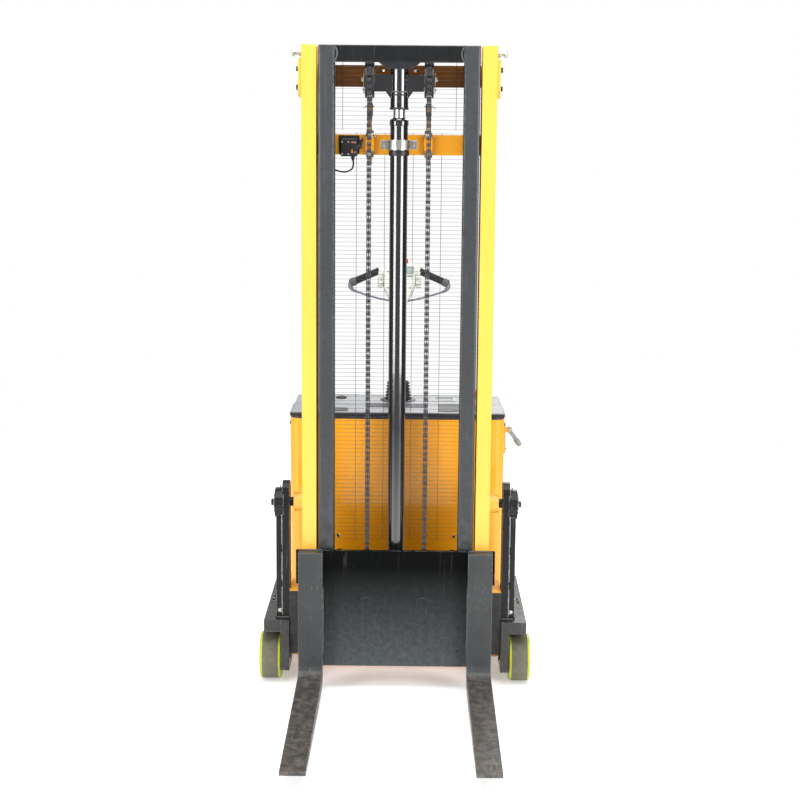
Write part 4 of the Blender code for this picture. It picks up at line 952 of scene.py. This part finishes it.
def legs_and_posts():
    dress(M["leg_black"], "leg_left", "leg_right", "battery_tray_left", "battery_tray_right", "drive_deck")
    dress(M["post_blue"], "mast_post_left", "mast_post_right")
    work = Piece("leg_and_post_fixings")
    for _, side in SIDES:
        out = (side, 0, 0)
        work.bolt((side * 0.4272, WHEEL_Y, WHEEL_Z), out, 0.0115, M["steel"])
        # axle seen on the bracket's inner face, with its retaining plate
        work.turned([(0.0150, 0.0), (0.0150, 0.0040), (0.0135, 0.0052)], M["steel"],
                    frame_along((side * 0.3390, WHEEL_Y, WHEEL_Z), (-side, 0, 0)), 24)
        for y in (WHEEL_Y - 0.024, WHEEL_Y + 0.024):
            work.bolt((side * 0.3390, y, WHEEL_Z), (-side, 0, 0), 0.0050, M["bolt_dark"], M["steel"])
        # beads: cap to bracket, post to leg, outer plate to inner plate
        work.bead((side * 0.3665, 0.088, 0.1716), (side * 0.4160, 0.088, 0.1716), 0.0022, M["weld"])
        work.bead((side * 0.3826, 0.119, 0.2130), (side * 0.3826, 0.175, 0.2130), 0.0034, M["weld"])
        work.bead((side * 0.3400, 0.1112, 0.2125), (side * 0.3800, 0.1112, 0.2125), 0.0034, M["weld"])
        for start, end in ((0.222, 0.310), (0.335, 0.425), (0.450, 0.555)):
            work.bead((side * 0.3632, 0.1165, start), (side * 0.3632, 0.1165, end), 0.0019, M["bare_weld"])
        work.bead((side * 0.3600, 0.1160, 0.5612), (side * 0.3815, 0.1160, 0.5612), 0.0026, M["bare_weld"])
        work.bolt((side * 0.3700, 0.1168, 0.2340), (0, -1, 0), 0.0050, M["steel"], M["steel"])
        # pivot boss: cap plate, bolt and grease nipple
        cap = frame_along((side * 0.3862, WHEEL_Y, 0.5835), out)
        work.turned([(0.0330, 0.0), (0.0330, 0.0020), (0.0310, 0.0032), (0.0150, 0.0032)], M["post_blue"], cap, 36)
        work.bolt((side * 0.3893, WHEEL_Y, 0.5835), out, 0.0105, M["bolt_dark"], M["steel"])
        work.rod((side * 0.3700, WHEEL_Y, 0.6300), (side * 0.3700, WHEEL_Y, 0.6385), 0.0030, M["bronze"], 10,
                 tip=0.0018)
        # lift points bolted on the leg's top and the end cap of its beam
        for y in (0.300, 0.330):
            work.bolt((side * 0.4060, y, 0.2100), (0, 0, 1), 0.0060, M["bolt_dark"], M["steel"])
        for y, z in ((0.420, 0.070), (0.420, 0.180), (0.580, 0.070), (0.580, 0.180)):
            work.bolt((side * 0.4201, y, z), out, 0.0062, M["bolt_dark"], M["steel"])
        plate_outline = rectangle((0.400, 0.052), (0.600, 0.198), 0.010)
        work.prism(plate_outline, "YZ", (side * 0.4199, side * 0.4212), M["leg_black"], 0.0006)
        end = rectangle((side * 0.3795 - 0.034, 0.048), (side * 0.3795 + 0.034, 0.200), 0.006)
        work.prism(end, "XZ", (0.6199, 0.6218), M["leg_black"], 0.0008)
        work.bead((side * 0.3440, 0.6205, 0.2040), (side * 0.4150, 0.6205, 0.2040), 0.0020, M["weld"])
    work.done("chassis")


def load_wheels():
    for word, side in SIDES:
        wheel = Piece("load_wheel_tyre_" + word)
        place = frame_along((side * 0.401, WHEEL_Y, WHEEL_Z), (side, 0, 0))
        wheel.turned([(0.0520, -0.0340), (0.0700, -0.0340), (0.0738, -0.0315), (0.0746, -0.0270), (0.0746, 0.0270),
                      (0.0738, 0.0315), (0.0700, 0.0340), (0.0520, 0.0340)], M["lime"], place, 64, closed=True)
        wheel.turned([(0.0720, -0.0262), (0.0744, -0.0262), (0.0750, -0.0245), (0.0750, 0.0245), (0.0744, 0.0262),
                      (0.0720, 0.0262)], M["tread"], place, 64, closed=True)
        wheel.turned([(0.0134, -0.0250), (0.0230, -0.0250), (0.0240, -0.0200), (0.0480, -0.0200), (0.0500, -0.0290),
                      (0.0522, -0.0290), (0.0522, 0.0290), (0.0500, 0.0290), (0.0480, 0.0200), (0.0240, 0.0200),
                      (0.0230, 0.0255), (0.0134, 0.0255)], M["hub"], place, 48, closed=True)
        wheel.turned([(0.0134, 0.0250), (0.0200, 0.0250), (0.0200, 0.0262), (0.0134, 0.0262)], M["bolt_dark"],
                     place,
                     32, closed=True)
        for i in range(5):
            angle = math.tau * i / 5
            spot = place @ Vector((0.036 * math.cos(angle), 0.036 * math.sin(angle), 0.0198))
            wheel.bolt(spot, (side, 0, 0), 0.0042, M["steel"], sides=6)
        wheel.done("load_wheel_" + word, ["load_wheel_" + word])


# ---------------------------------------------------------------- covers and hood

def covers():
    dress(M["panel_yellow"], "front_panel", "side_panel_left", "side_panel_right", "rear_cover", "chassis_beam")
    dress(M["hood_grey"], "battery_lid", "hood_deck")
    screws = Piece("cover_screws")
    for _, side in SIDES:
        for z in (0.262, 0.800):
            screws.bolt((side * 0.300, 0.3398, z), (0, -1, 0), 0.0052, M["steel"], M["bolt_dark"], sides=14)
        for y in (0.425, 0.675):
            for z in (0.262, 0.790):
                screws.bolt((side * 0.3541, y, z), (side, 0, 0), 0.0058, M["bolt_dark"], M["steel"], sides=14)
        for z in (0.180, 0.420, 0.800):
            screws.bolt((side * 0.240, 0.7701, z), (0, 1, 0), 0.0058, M["bolt_dark"], M["steel"], sides=14)
    screws.done("chassis")
    trim = Piece("cover_trim")
    for _, side in SIDES:
        # a pressed louvre bank and the lower edge fold on each side panel
        for i in range(7):
            z = 0.360 + 0.022 * i
            outline = round_outline([(0.470, z), (0.630, z), (0.630, z + 0.0075), (0.470, z + 0.0075)], 0.0036)
            trim.prism(outline, "YZ", (side * 0.3535, side * 0.3562), M["panel_yellow"], 0.0016)
            slot = round_outline([(0.474, z - 0.0032), (0.626, z - 0.0032), (0.626, z - 0.0004),
                                  (0.474, z - 0.0004)], 0.001)
            trim.prism(slot, "YZ", (side * 0.3535, side * 0.3546), M["black_plastic"], 0.0)
        trim.rod((side * 0.3528, 0.402, 0.2360), (side * 0.3528, 0.698, 0.2360), 0.0026, M["panel_yellow"], 10)
    trim.rod((-0.316, 0.3414, 0.2364), (0.316, 0.3414, 0.2364), 0.0026, M["panel_yellow"], 10)
    # vents, handle and bumper on the rear cover
    for i in range(9):
        z = 0.470 + 0.021 * i
        outline = [(0.7695, z), (0.7722, z + 0.001), (0.7722, z + 0.010), (0.7695, z + 0.013)]
        trim.prism(outline, "YZ", (-0.150, 0.150), M["black_plastic"], 0.0)
    rim = round_outline([(-0.168, 0.455), (0.168, 0.455), (0.168, 0.668), (-0.168, 0.668)], 0.014)
    inner = round_outline([(-0.158, 0.465), (0.158, 0.465), (0.158, 0.658), (-0.158, 0.658)], 0.008)
    points = [PLANES["XZ"](a, b, 0.7700) for a, b in rim] + [PLANES["XZ"](a, b, 0.7735) for a, b in inner]
    points += [PLANES["XZ"](a, b, 0.7735) for a, b in rim] + [PLANES["XZ"](a, b, 0.7700) for a, b in inner]
    size = len(rim)
    faces = []
    for i in range(size):
        k = (i + 1) % size
        faces += [(i, k, 2 * size + k, 2 * size + i), (2 * size + i, 2 * size + k, size + k, size + i),
                  (size + i, size + k, 3 * size + k, 3 * size + i), (3 * size + i, 3 * size + k, k, i)]
    trim.add(points, faces, M["black_plastic"])
    grip = smooth_route([(-0.090, 0.7695, 0.745), (-0.088, 0.7800, 0.745), (-0.070, 0.7880, 0.745),
                         (0.0, 0.7890, 0.745),
                         (0.070, 0.7880, 0.745), (0.088, 0.7800, 0.745), (0.090, 0.7695, 0.745)], 40)
    trim.tube(grip, 0.0065, M["black_plastic"], 12)
    for _, side in SIDES:
        trim.turned([(0.0130, 0.0), (0.0130, 0.0020), (0.0095, 0.0040)], M["black_plastic"],
                    frame_along((side * 0.090, 0.7700, 0.745), (0, 1, 0)), 20)
    route = [(-0.3545, 0.7050), (-0.3545, 0.7300), (-0.3430, 0.7560), (-0.3200, 0.7700), (-0.2900, 0.7712),
             (0.2900, 0.7712), (0.3200, 0.7700), (0.3430, 0.7560), (0.3545, 0.7300), (0.3545, 0.7050)]
    bumper = smooth_route([(a, b, 0.172) for a, b in route], 90)
    rings = []
    for i, spot in enumerate(bumper):
        ahead = (bumper[min(i + 1, 89)] - bumper[max(i - 1, 0)]).normalized()
        away = ahead.cross(Vector((0, 0, 1)))
        section = ((0.000, -0.020), (0.005, -0.018), (0.0075, -0.009), (0.0060, 0.0), (0.0075, 0.009),
                   (0.005, 0.018), (0.000, 0.020))
        rings.append([tuple(spot + away * a + Vector((0, 0, b))) for a, b in section])
    trim.loft(rings, M["rubber"])
    trim.done("chassis")


def hood():
    lid = Piece("battery_lid_trays")
    top = 0.8419
    for low_x, high_x, low_y, high_y in ((-0.245, -0.166, 0.362, 0.414), (-0.100, 0.090, 0.438, 0.500),
                                         (0.137, 0.262, 0.364, 0.498)):
        lid.prism(rectangle((low_x, low_y), (high_x, high_y), 0.007), "XY", (top, top + 0.0010), M["tray_dark"],
                  0.0004)
        ring = [(a, b, top + 0.0009) for a, b in rectangle((low_x, low_y), (high_x, high_y), 0.007, 4)]
        lid.tube([*ring, ring[0]], 0.0013, M["tray_dark"], 6)
    lid.done("battery_lid")
    deck = Piece("deck_fittings")
    up = (0, 0, 1)
    # stop button's collar, key switch bezel, boot flange, display and round cap
    deck.turned([(0.0264, 0.0), (0.0330, 0.0), (0.0330, 0.0020), (0.0264, 0.0030)], M["mast_yellow"],
                frame_along((0.255, 0.600, 0.8418), up), 40, closed=True)
    deck.turned([(0.0100, 0.0), (0.0210, 0.0), (0.0213, 0.0004), (0.0205, 0.0008), (0.0100, 0.0008)],
                M["bolt_dark"],
                frame_along((0.255, 0.600, 0.8499), up), 36, closed=True)
    deck.turned([(0.0078, 0.0), (0.0135, 0.0), (0.0138, 0.0012), (0.0125, 0.0020), (0.0078, 0.0020)], M["steel"],
                frame_along((-0.255, 0.600, 0.8468), up), 32, closed=True)
    deck.turned([(0.0475, 0.0), (0.0600, 0.0), (0.0605, 0.0015), (0.0580, 0.0032), (0.0475, 0.0036)],
                M["black_plastic"],
                frame_along((0.0, 0.585, 0.8418), up), 48, closed=True)
    for i in range(4):
        angle = math.tau * (i + 0.5) / 4
        deck.bolt((0.0540 * math.cos(angle), 0.585 + 0.0540 * math.sin(angle), 0.8448), up, 0.0030, M["steel"],
                  sides=12)
    deck.block((0.118, 0.560, 0.8415), (0.198, 0.640, 0.8440), M["hood_pale"], 0.001)
    deck.prism(rectangle((0.126, 0.592), (0.190, 0.632), 0.004), "XY", (0.8436, 0.8444), M["screen"], 0.0003)
    for i in range(5):
        deck.block((0.130 + 0.012 * i, 0.570, 0.8436), (0.138 + 0.012 * i, 0.577, 0.8446),
                   M["orange"] if i == 0 else M["display_bar"], 0.0004)
    deck.turned([(0.0150, 0.0), (0.0185, 0.0), (0.0190, 0.0030), (0.0165, 0.0052), (0.0150, 0.0030)],
                M["black_plastic"],
                frame_along((-0.196, 0.612, 0.8418), up), 32, closed=True)
    deck.turned([(0.0152, 0.0), (0.0152, 0.0026), (0.0060, 0.0034)], M["tray_dark"],
                frame_along((-0.196, 0.612, 0.8418), up), 28)
    deck.prism(rectangle((-0.270, 0.690), (0.270, 0.745), 0.012), "XY", (0.8149, 0.8158), M["tray_dark"], 0.0004)
    for x in (-0.310, 0.310):
        for y in (0.530, 0.650):
            deck.bolt((x, y, 0.8419), up, 0.0058, M["steel"], M["bolt_dark"], sides=14)
    deck.done("chassis")
    dress(M["red_plastic"], "emergency_stop", "belly_button")
    dress(M["steel"], "ignition_key")
    dress(M["grey_plastic"], "disconnect_lever", "lift_button", "lower_button")
    dress(M["black_plastic"], "horn_button")
    dress(M["cream_plastic"], "throttle")
    arrows = Piece("emergency_stop_marks")
    for i in range(3):
        angle = math.tau * i / 3
        route = [(0.255 + 0.0125 * math.cos(angle + 0.16 * k), 0.600 + 0.0125 * math.sin(angle + 0.16 * k), 0.8752)
                 for k in range(8)]
        arrows.tube(route, [0.0004] + [0.0008] * 6 + [0.0004], M["white_mark"], 6)
    arrows.done("emergency_stop")
    lever = Piece("disconnect_lever_details")
    lean = Matrix.Translation((0.3745, 0.450, 0.767)) @ Matrix.Rotation(math.radians(-36), 4, "Y")
    lever.turned([(0.0058, 0.0), (0.0085, 0.004), (0.0090, 0.016), (0.0078, 0.026), (0.0050, 0.030)],
                 M["grey_plastic"],
                 lean @ frame_along((0, 0, -0.036), (0, 0, -1)), 24)
    lever.turned([(0.0040, 0.0), (0.0075, 0.0), (0.0075, 0.0010), (0.0040, 0.0014)], M["steel"],
                 lean @ frame_along((0, -0.0066, 0), (0, -1, 0)), 20)
    lever.done("disconnect_lever")
    hinge = Piece("lever_bracket_bolt")
    for way in (-1, 1):
        hinge.bolt((0.3745, 0.450 + way * 0.0141, 0.767), (0, way, 0), 0.0046, M["steel"], M["steel"])
    hinge.bolt((0.3621, 0.450, 0.702), (1, 0, 0), 0.0038, M["bolt_dark"])
    hinge.done("chassis")


# ---------------------------------------------------------------- tiller

TILLER = Matrix.Translation((0.0, 0.585, 0.880)) @ Matrix.Rotation(math.radians(-11.6), 4, "X")


def oval_ring(half_x, half_y, z, steps=32, power=3.2):
    points = []
    for i in range(steps):
        c, s = math.cos(math.tau * i / steps), math.sin(math.tau * i / steps)
        points.append((half_x * math.copysign(abs(c) ** (2 / power), c),
                       half_y * math.copysign(abs(s) ** (2 / power), s), z))
    return points


def tiller():
    dress(M["gloss_black"], "tiller_arm")
    head = Piece("tiller_head_housing", TILLER)
    stations = ((0.0185, 0.0150, 0.2862), (0.0225, 0.0190, 0.2875), (0.0290, 0.0225, 0.2990),
                (0.0380, 0.0245, 0.3170),
                (0.0480, 0.0258, 0.3360), (0.0535, 0.0262, 0.3520), (0.0555, 0.0264, 0.3700),
                (0.0548, 0.0262, 0.3920),
                (0.0550, 0.0258, 0.4100), (0.0545, 0.0248, 0.4210), (0.0520, 0.0220, 0.4285),
                (0.0450, 0.0150, 0.4318))
    head.loft([oval_ring(*s) for s in stations], M["cream_plastic"])
    # the seam between the two half shells
    seam = [(a[0] + 0.0004, 0.0, a[2]) for a in stations[2:10]]
    for way in (-1, 1):
        head.tube([(way * x, y, z) for x, y, z in seam], 0.0011, M["grey_plastic"], 6)
    # wings out to the grips' roots
    for way in (-1, 1):
        rings = []
        for k in range(9):
            t = k / 8
            x, z = 0.040 + 0.032 * t, 0.4045 + 0.0015 * math.sin(math.pi * t) - 0.001 * t
            rings.append([(way * x, 0.0150 * (1 - 0.18 * t) * math.cos(a), z + (0.0195 - 0.0055 * t) * math.sin(a))
                          for a in [math.tau * i / 20 for i in range(20)]])
        head.loft(rings, M["cream_plastic"])
    # front face: greenish display with keys, sensor dot, shell screws
    face = -0.0262
    head.prism(rectangle((0.0170, 0.3960), (0.0470, 0.4160), 0.003), "XZ", (face - 0.0008, face + 0.002),
               M["screen"], 0.0003)
    head.prism(rectangle((0.0145, 0.3935), (0.0495, 0.4185), 0.004), "XZ", (face - 0.0003, face + 0.002),
               M["grey_plastic"], 0.0003)
    for x, z in ((0.022, 0.3850), (0.032, 0.3850), (0.042, 0.3850)):
        head.prism(rectangle((x - 0.0034, z - 0.0026), (x + 0.0034, z + 0.0026), 0.0015), "XZ",
                   (face - 0.0014, face + 0.002),
                   M["grey_plastic"], 0.0005)
    head.turned([(0.0046, 0.0), (0.0046, 0.0008), (0.0030, 0.0016)], M["orange"],
                frame_along((0.0, face + 0.0006, 0.3300), (0, -1, 0)), 20)
    for x, z in ((-0.038, 0.400), (0.038, 0.345), (-0.038, 0.345), (-0.016, 0.300), (0.016, 0.300)):
        head.bolt((x, face + 0.0014, z), (0, -1, 0), 0.0024, M["bolt_dark"], sides=12)
    # operator's face: bezels round the three buttons
    for x, z in ((-0.022, 0.345), (0.022, 0.345), (0.0, 0.315)):
        head.turned([(0.0092, -0.002), (0.0118, -0.002), (0.0120, 0.0004), (0.0106, 0.0014), (0.0092, 0.0010)],
                    M["grey_plastic"],
                    frame_along((x, 0.0258, z), (0, 1, 0)), 28, closed=True)
    # collar on the arm
    head.turned([(0.0192, 0.2700), (0.0228, 0.2700), (0.0240, 0.2720), (0.0240, 0.2850), (0.0226, 0.2880),
                 (0.0192, 0.2880)],
                M["black_plastic"], Matrix.Identity(4), 32, closed=True)
    head.done("tiller", ["tiller_head"])
    loops = Piece("tiller_hand_loops", TILLER)
    for way in (-1, 1):
        route = smooth_route([(way * x, 0.0, z) for x, z in ((0.1600, 0.3665), (0.1665, 0.3600), (0.1680, 0.3510),
                             (0.1620, 0.3420), (0.1500, 0.3350), (0.1100, 0.3220), (0.0700, 0.3110),
                             (0.0200, 0.3010))], 44)
        radii = [0.0106 - 0.0070 * min(1.0, i / 12) for i in range(44)]
        loops.tube(route, radii, M["loop_slate"], 12)
        root, tip = Vector((way * 0.066, 0.0, 0.4075)), Vector((way * 0.1630, 0.0, 0.3650))
        place = frame_along(root, tip - root)
        length = (tip - root).length
        corner = [(0.0108, length - 0.017), (0.0136, length - 0.015), (0.0150, length - 0.006),
                  (0.0142, length + 0.003),
                  (0.0100, length + 0.0075), (0.0040, length + 0.0090)]
        loops.turned(corner, M["corner_grey"], place, 24)
        profile = [(0.0100, 0.0), (0.0122, 0.0015)]
        ribs = 18
        for i in range(ribs):
            foot = 0.003 + (length - 0.017) * i / ribs
            step = (length - 0.017) / ribs
            profile += [(0.0112, foot + step * 0.12), (0.0126, foot + step * 0.30), (0.0126, foot + step * 0.80),
                        (0.0112, foot + step * 0.96)]
        profile += [(0.0112, length - 0.013), (0.0090, length - 0.012)]
        loops.turned(profile, M["rubber"], place, 24)
        loops.turned([(0.0118, -0.004), (0.0138, -0.004), (0.0142, -0.001), (0.0138, 0.003), (0.0118, 0.003)],
                     M["cream_plastic"],
                     place, 28, closed=True)
        # knurl on the thumb paddle's hub
        loops.turned([(0.0090, 0.0), (0.0118, 0.0), (0.0118, 0.0016), (0.0090, 0.0018)], M["grey_plastic"],
                     frame_along((way * 0.0545, 0.0, 0.365), (way, 0, 0)), 24, closed=True)
    loops.done("tiller")
    paddle = Piece("throttle_ribs", TILLER)
    for way in (-1, 1):
        for i in range(7):
            z = 0.3495 + 0.0052 * i
            for y in (-0.0062, 0.0062):
                paddle.rod((way * 0.0590, y, z), (way * 0.0750, y, z), 0.0008, M["rubber"], 8, 0.0002)
    paddle.done("throttle")
    bellows = Piece("tiller_bellows")
    low, high, ribs = 0.8432, 0.9060, 6
    outer, inner = [], []
    for i in range(ribs * 8 + 1):
        t = i / (ribs * 8)
        crest = 0.0455 - 0.0065 * t
        wave = 0.5 - 0.5 * math.cos(math.tau * i / 8)
        outer.append((crest - 0.0058 * (1 - wave) if 0 < i < ribs * 8 else crest - 0.003, low + (high - low) * t))
        inner.append((crest - 0.0085, low + (high - low) * t))
    bellows.turned([*outer, *reversed(inner)], M["rubber"], frame_along((0, 0.585, 0), (0, 0, 1)), 48, closed=True)
    boot = bellows.done(None, ["tiller_boot"], sharp=60.0)
    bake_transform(boot)
    pivot = Piece("tiller_pivot_hardware")
    for way in (-1, 1):
        pivot.bolt((way * 0.0281, 0.585, 0.880), (way, 0, 0), 0.0062, M["steel"], M["steel"])
    pivot.done("drive_unit")


# ---------------------------------------------------------------- drive, casters and hidden units

def drive():
    dress(M["frame_black"], "drive_unit")
    motor = Piece("drive_motor_details")
    up = frame_along((0, 0.585, 0), (0, 0, 1))
    for i in range(9):
        z = 0.372 + 0.015 * i
        motor.turned([(0.0745, z), (0.0790, z + 0.0008), (0.0790, z + 0.0042), (0.0745, z + 0.0050)],
                     M["cast_grey"], up, 40,
                     closed=False)
    motor.turned([(0.0300, 0.5598), (0.0600, 0.5598), (0.0620, 0.5620), (0.0600, 0.5860), (0.0300, 0.5900)],
                 M["bolt_dark"], up,
                 40, closed=True)
    for i in range(6):
        angle = math.tau * i / 6
        motor.bolt((0.0660 * math.cos(angle), 0.585 + 0.0660 * math.sin(angle), 0.5600), (0, 0, 1), 0.0046,
                   M["steel"], M["steel"])
        motor.bolt((0.0800 * math.cos(angle), 0.585 + 0.0800 * math.sin(angle), 0.3200), (0, 0, 1), 0.0040,
                   M["steel"])
    for angle in (0.9, 1.3, 1.7):
        spot = Vector((0.0750 * math.cos(angle), 0.585 + 0.0750 * math.sin(angle), 0.535))
        out = Vector((math.cos(angle), math.sin(angle), 0))
        motor.rod(spot, spot + out * 0.012, 0.0070, M["black_plastic"], 14)
        motor.rod(spot + out * 0.011, spot + out * 0.020, 0.0032, M["steel"], 10)
    for y, z in ((0.540, 0.100), (0.630, 0.100), (0.585, 0.225), (0.548, 0.200), (0.622, 0.200), (0.585, 0.066)):
        motor.bolt((0.0750, y, z), (1, 0, 0), 0.0046, M["steel"], M["steel"])
    motor.turned([(0.0300, 0.0), (0.0330, 0.0), (0.0330, 0.0040), (0.0300, 0.0070), (0.0100, 0.0080)],
                 M["cast_grey"],
                 frame_along((0.0750, 0.585, 0.150), (1, 0, 0)), 32)
    motor.done("drive_unit")
    wheel = Piece("drive_wheel_tyre")
    place = frame_along((0, 0.585, 0.105), (-1, 0, 0))
    wheel.turned([(0.0780, -0.0350), (0.1000, -0.0350), (0.1040, -0.0325), (0.1050, -0.0285), (0.1050, 0.0285),
                  (0.1040, 0.0325), (0.1000, 0.0350), (0.0780, 0.0350)], M["drive_tyre"], place, 72, closed=True)
    wheel.turned([(0.0160, -0.0260), (0.0400, -0.0260), (0.0440, -0.0200), (0.0740, -0.0200), (0.0765, -0.0310),
                  (0.0790, -0.0310),
                  (0.0790, 0.0310), (0.0765, 0.0310), (0.0740, 0.0220), (0.0440, 0.0200), (0.0400, 0.0280),
                  (0.0160, 0.0280)],
                 M["hub"], place, 56, closed=True)
    for i in range(7):
        angle = math.tau * i / 7
        wheel.bolt(place @ Vector((0.0570 * math.cos(angle), 0.0570 * math.sin(angle), 0.0200)), (-1, 0, 0), 0.0062,
                   M["steel"], M["steel"])
    wheel.done("drive_wheel", ["drive_wheel"])
    for word, side in SIDES:
        x = side * 0.250
        dress(M["steel"], "caster_fork_" + word)
        top = Piece("caster_head_" + word)
        up = frame_along((x, 0.640, 0), (0, 0, 1))
        top.turned([(0.0342, 0.1840), (0.0365, 0.1850), (0.0370, 0.1900), (0.0365, 0.1950), (0.0342, 0.1960)],
                   M["bolt_dark"], up, 40, closed=True)
        for way in (-1, 1):
            top.bolt((x + way * 0.0246, 0.665, 0.045), (way, 0, 0), 0.0058, M["steel"], M["steel"])
        top.done("caster_fork_" + word)
        roll = Piece("caster_wheel_tyre_" + word)
        place = frame_along((x, 0.665, 0.045), (1, 0, 0))
        roll.turned([(0.0300, -0.0158), (0.0400, -0.0158), (0.0440, -0.0130), (0.0450, -0.0080), (0.0450, 0.0080),
                     (0.0440, 0.0130),
                     (0.0400, 0.0158), (0.0300, 0.0158)], M["drive_tyre"], place, 48, closed=True)
        roll.turned([(0.0066, -0.0160), (0.0130, -0.0160), (0.0140, -0.0110), (0.0285, -0.0105), (0.0302, -0.0150),
                     (0.0302, 0.0150),
                     (0.0285, 0.0105), (0.0140, 0.0110), (0.0130, 0.0160), (0.0066, 0.0160)], M["hub"], place, 36,
                     closed=True)
        roll.done("caster_wheel_" + word, ["caster_wheel_" + word])


def hidden_units():
    dress(M["black_plastic"], "battery_pack")
    dress(M["frame_black"], "power_unit")
    dress(M["aluminium"], "motor_controller")
    bay = Piece("battery_caps_and_leads")
    for row in (-0.290, -0.203):
        for i in range(6):
            y = 0.425 + 0.040 * i
            bay.turned([(0.0095, 0.0), (0.0095, 0.0060), (0.0080, 0.0085)], M["orange"],
                       frame_along((row, y, 0.6000), (0, 0, 1)), 12)
    for y, mat in ((0.400, M["copper"]), (0.650, M["rubber"])):
        bay.turned([(0.0125, 0.0), (0.0140, 0.001), (0.0140, 0.008), (0.0120, 0.010)], M["aluminium"],
                   frame_along((-0.2465, y, 0.6060), (0, 0, 1)), 20)
        lead = smooth_route([(-0.2400, y, 0.6120), (-0.2100, y, 0.6220), (-0.1650, y, 0.6180),
                             (-0.1450, y + 0.01, 0.5800),
                             (-0.1400, y + 0.02, 0.5000), (-0.1385, y + 0.02, 0.3600)], 40)
        bay.tube(lead, 0.0058, mat, 10)
    bay.done("chassis")
    pump = Piece("power_unit_details")
    motor = frame_along((-0.075, 0.410, 0), (0, 0, 1))
    for z in (0.300, 0.470):
        pump.turned([(0.0452, z), (0.0472, z + 0.001), (0.0472, z + 0.010), (0.0452, z + 0.011)], M["bolt_dark"],
                    motor, 36)
    pump.turned([(0.0440, 0.4895), (0.0440, 0.4925), (0.0300, 0.4990)], M["bolt_dark"], motor, 36)
    pump.turned([(0.0160, 0.0), (0.0180, 0.002), (0.0180, 0.014), (0.0150, 0.018)], M["black_plastic"],
                frame_along((0.060, 0.410, 0.5195), (0, 0, 1)), 20)
    for x in (-0.110, -0.050, 0.020, 0.100):
        pump.bolt((x, 0.3618, 0.256), (0, -1, 0), 0.0060, M["steel"], M["steel"])
    pump.turned([(0.0100, 0.0), (0.0120, 0.002), (0.0120, 0.030), (0.0090, 0.034)], M["steel"],
                frame_along((0.090, 0.3620, 0.240), (0, -1, 0)), 18)
    pump.done("chassis")
    box = Piece("controller_terminals")
    for i in range(5):
        spot = (0.185 + 0.030 * i, 0.6200, 0.262)
        box.bolt(spot, (0, 1, 0), 0.0062, M["bronze"], M["steel"])
    box.block((0.182, 0.6195, 0.216), (0.312, 0.6300, 0.246), M["black_plastic"], 0.002)
    for i in range(4):
        a = 0.200 + 0.030 * i
        lead = smooth_route([(a, 0.6260, 0.262), (a - 0.006, 0.6420, 0.280), (a - 0.040, 0.6520, 0.330),
                             (0.128, 0.650, 0.350 + 0.01 * i)], 24)
        box.tube(lead, 0.0036, M["rubber"] if i % 2 else M["copper"], 8)
    box.done("chassis")


make_camera()
make_stage()
M = make_materials()
DARK.append(M["bolt_dark"])
wire_guard()
mast_hardware()
anchors_and_clamp()
lift_hose()
limit_switch()
lift_chains()
inner_mast()
carriage()
legs_and_posts()
load_wheels()
covers()
hood()
tiller()
drive()
hidden_units()
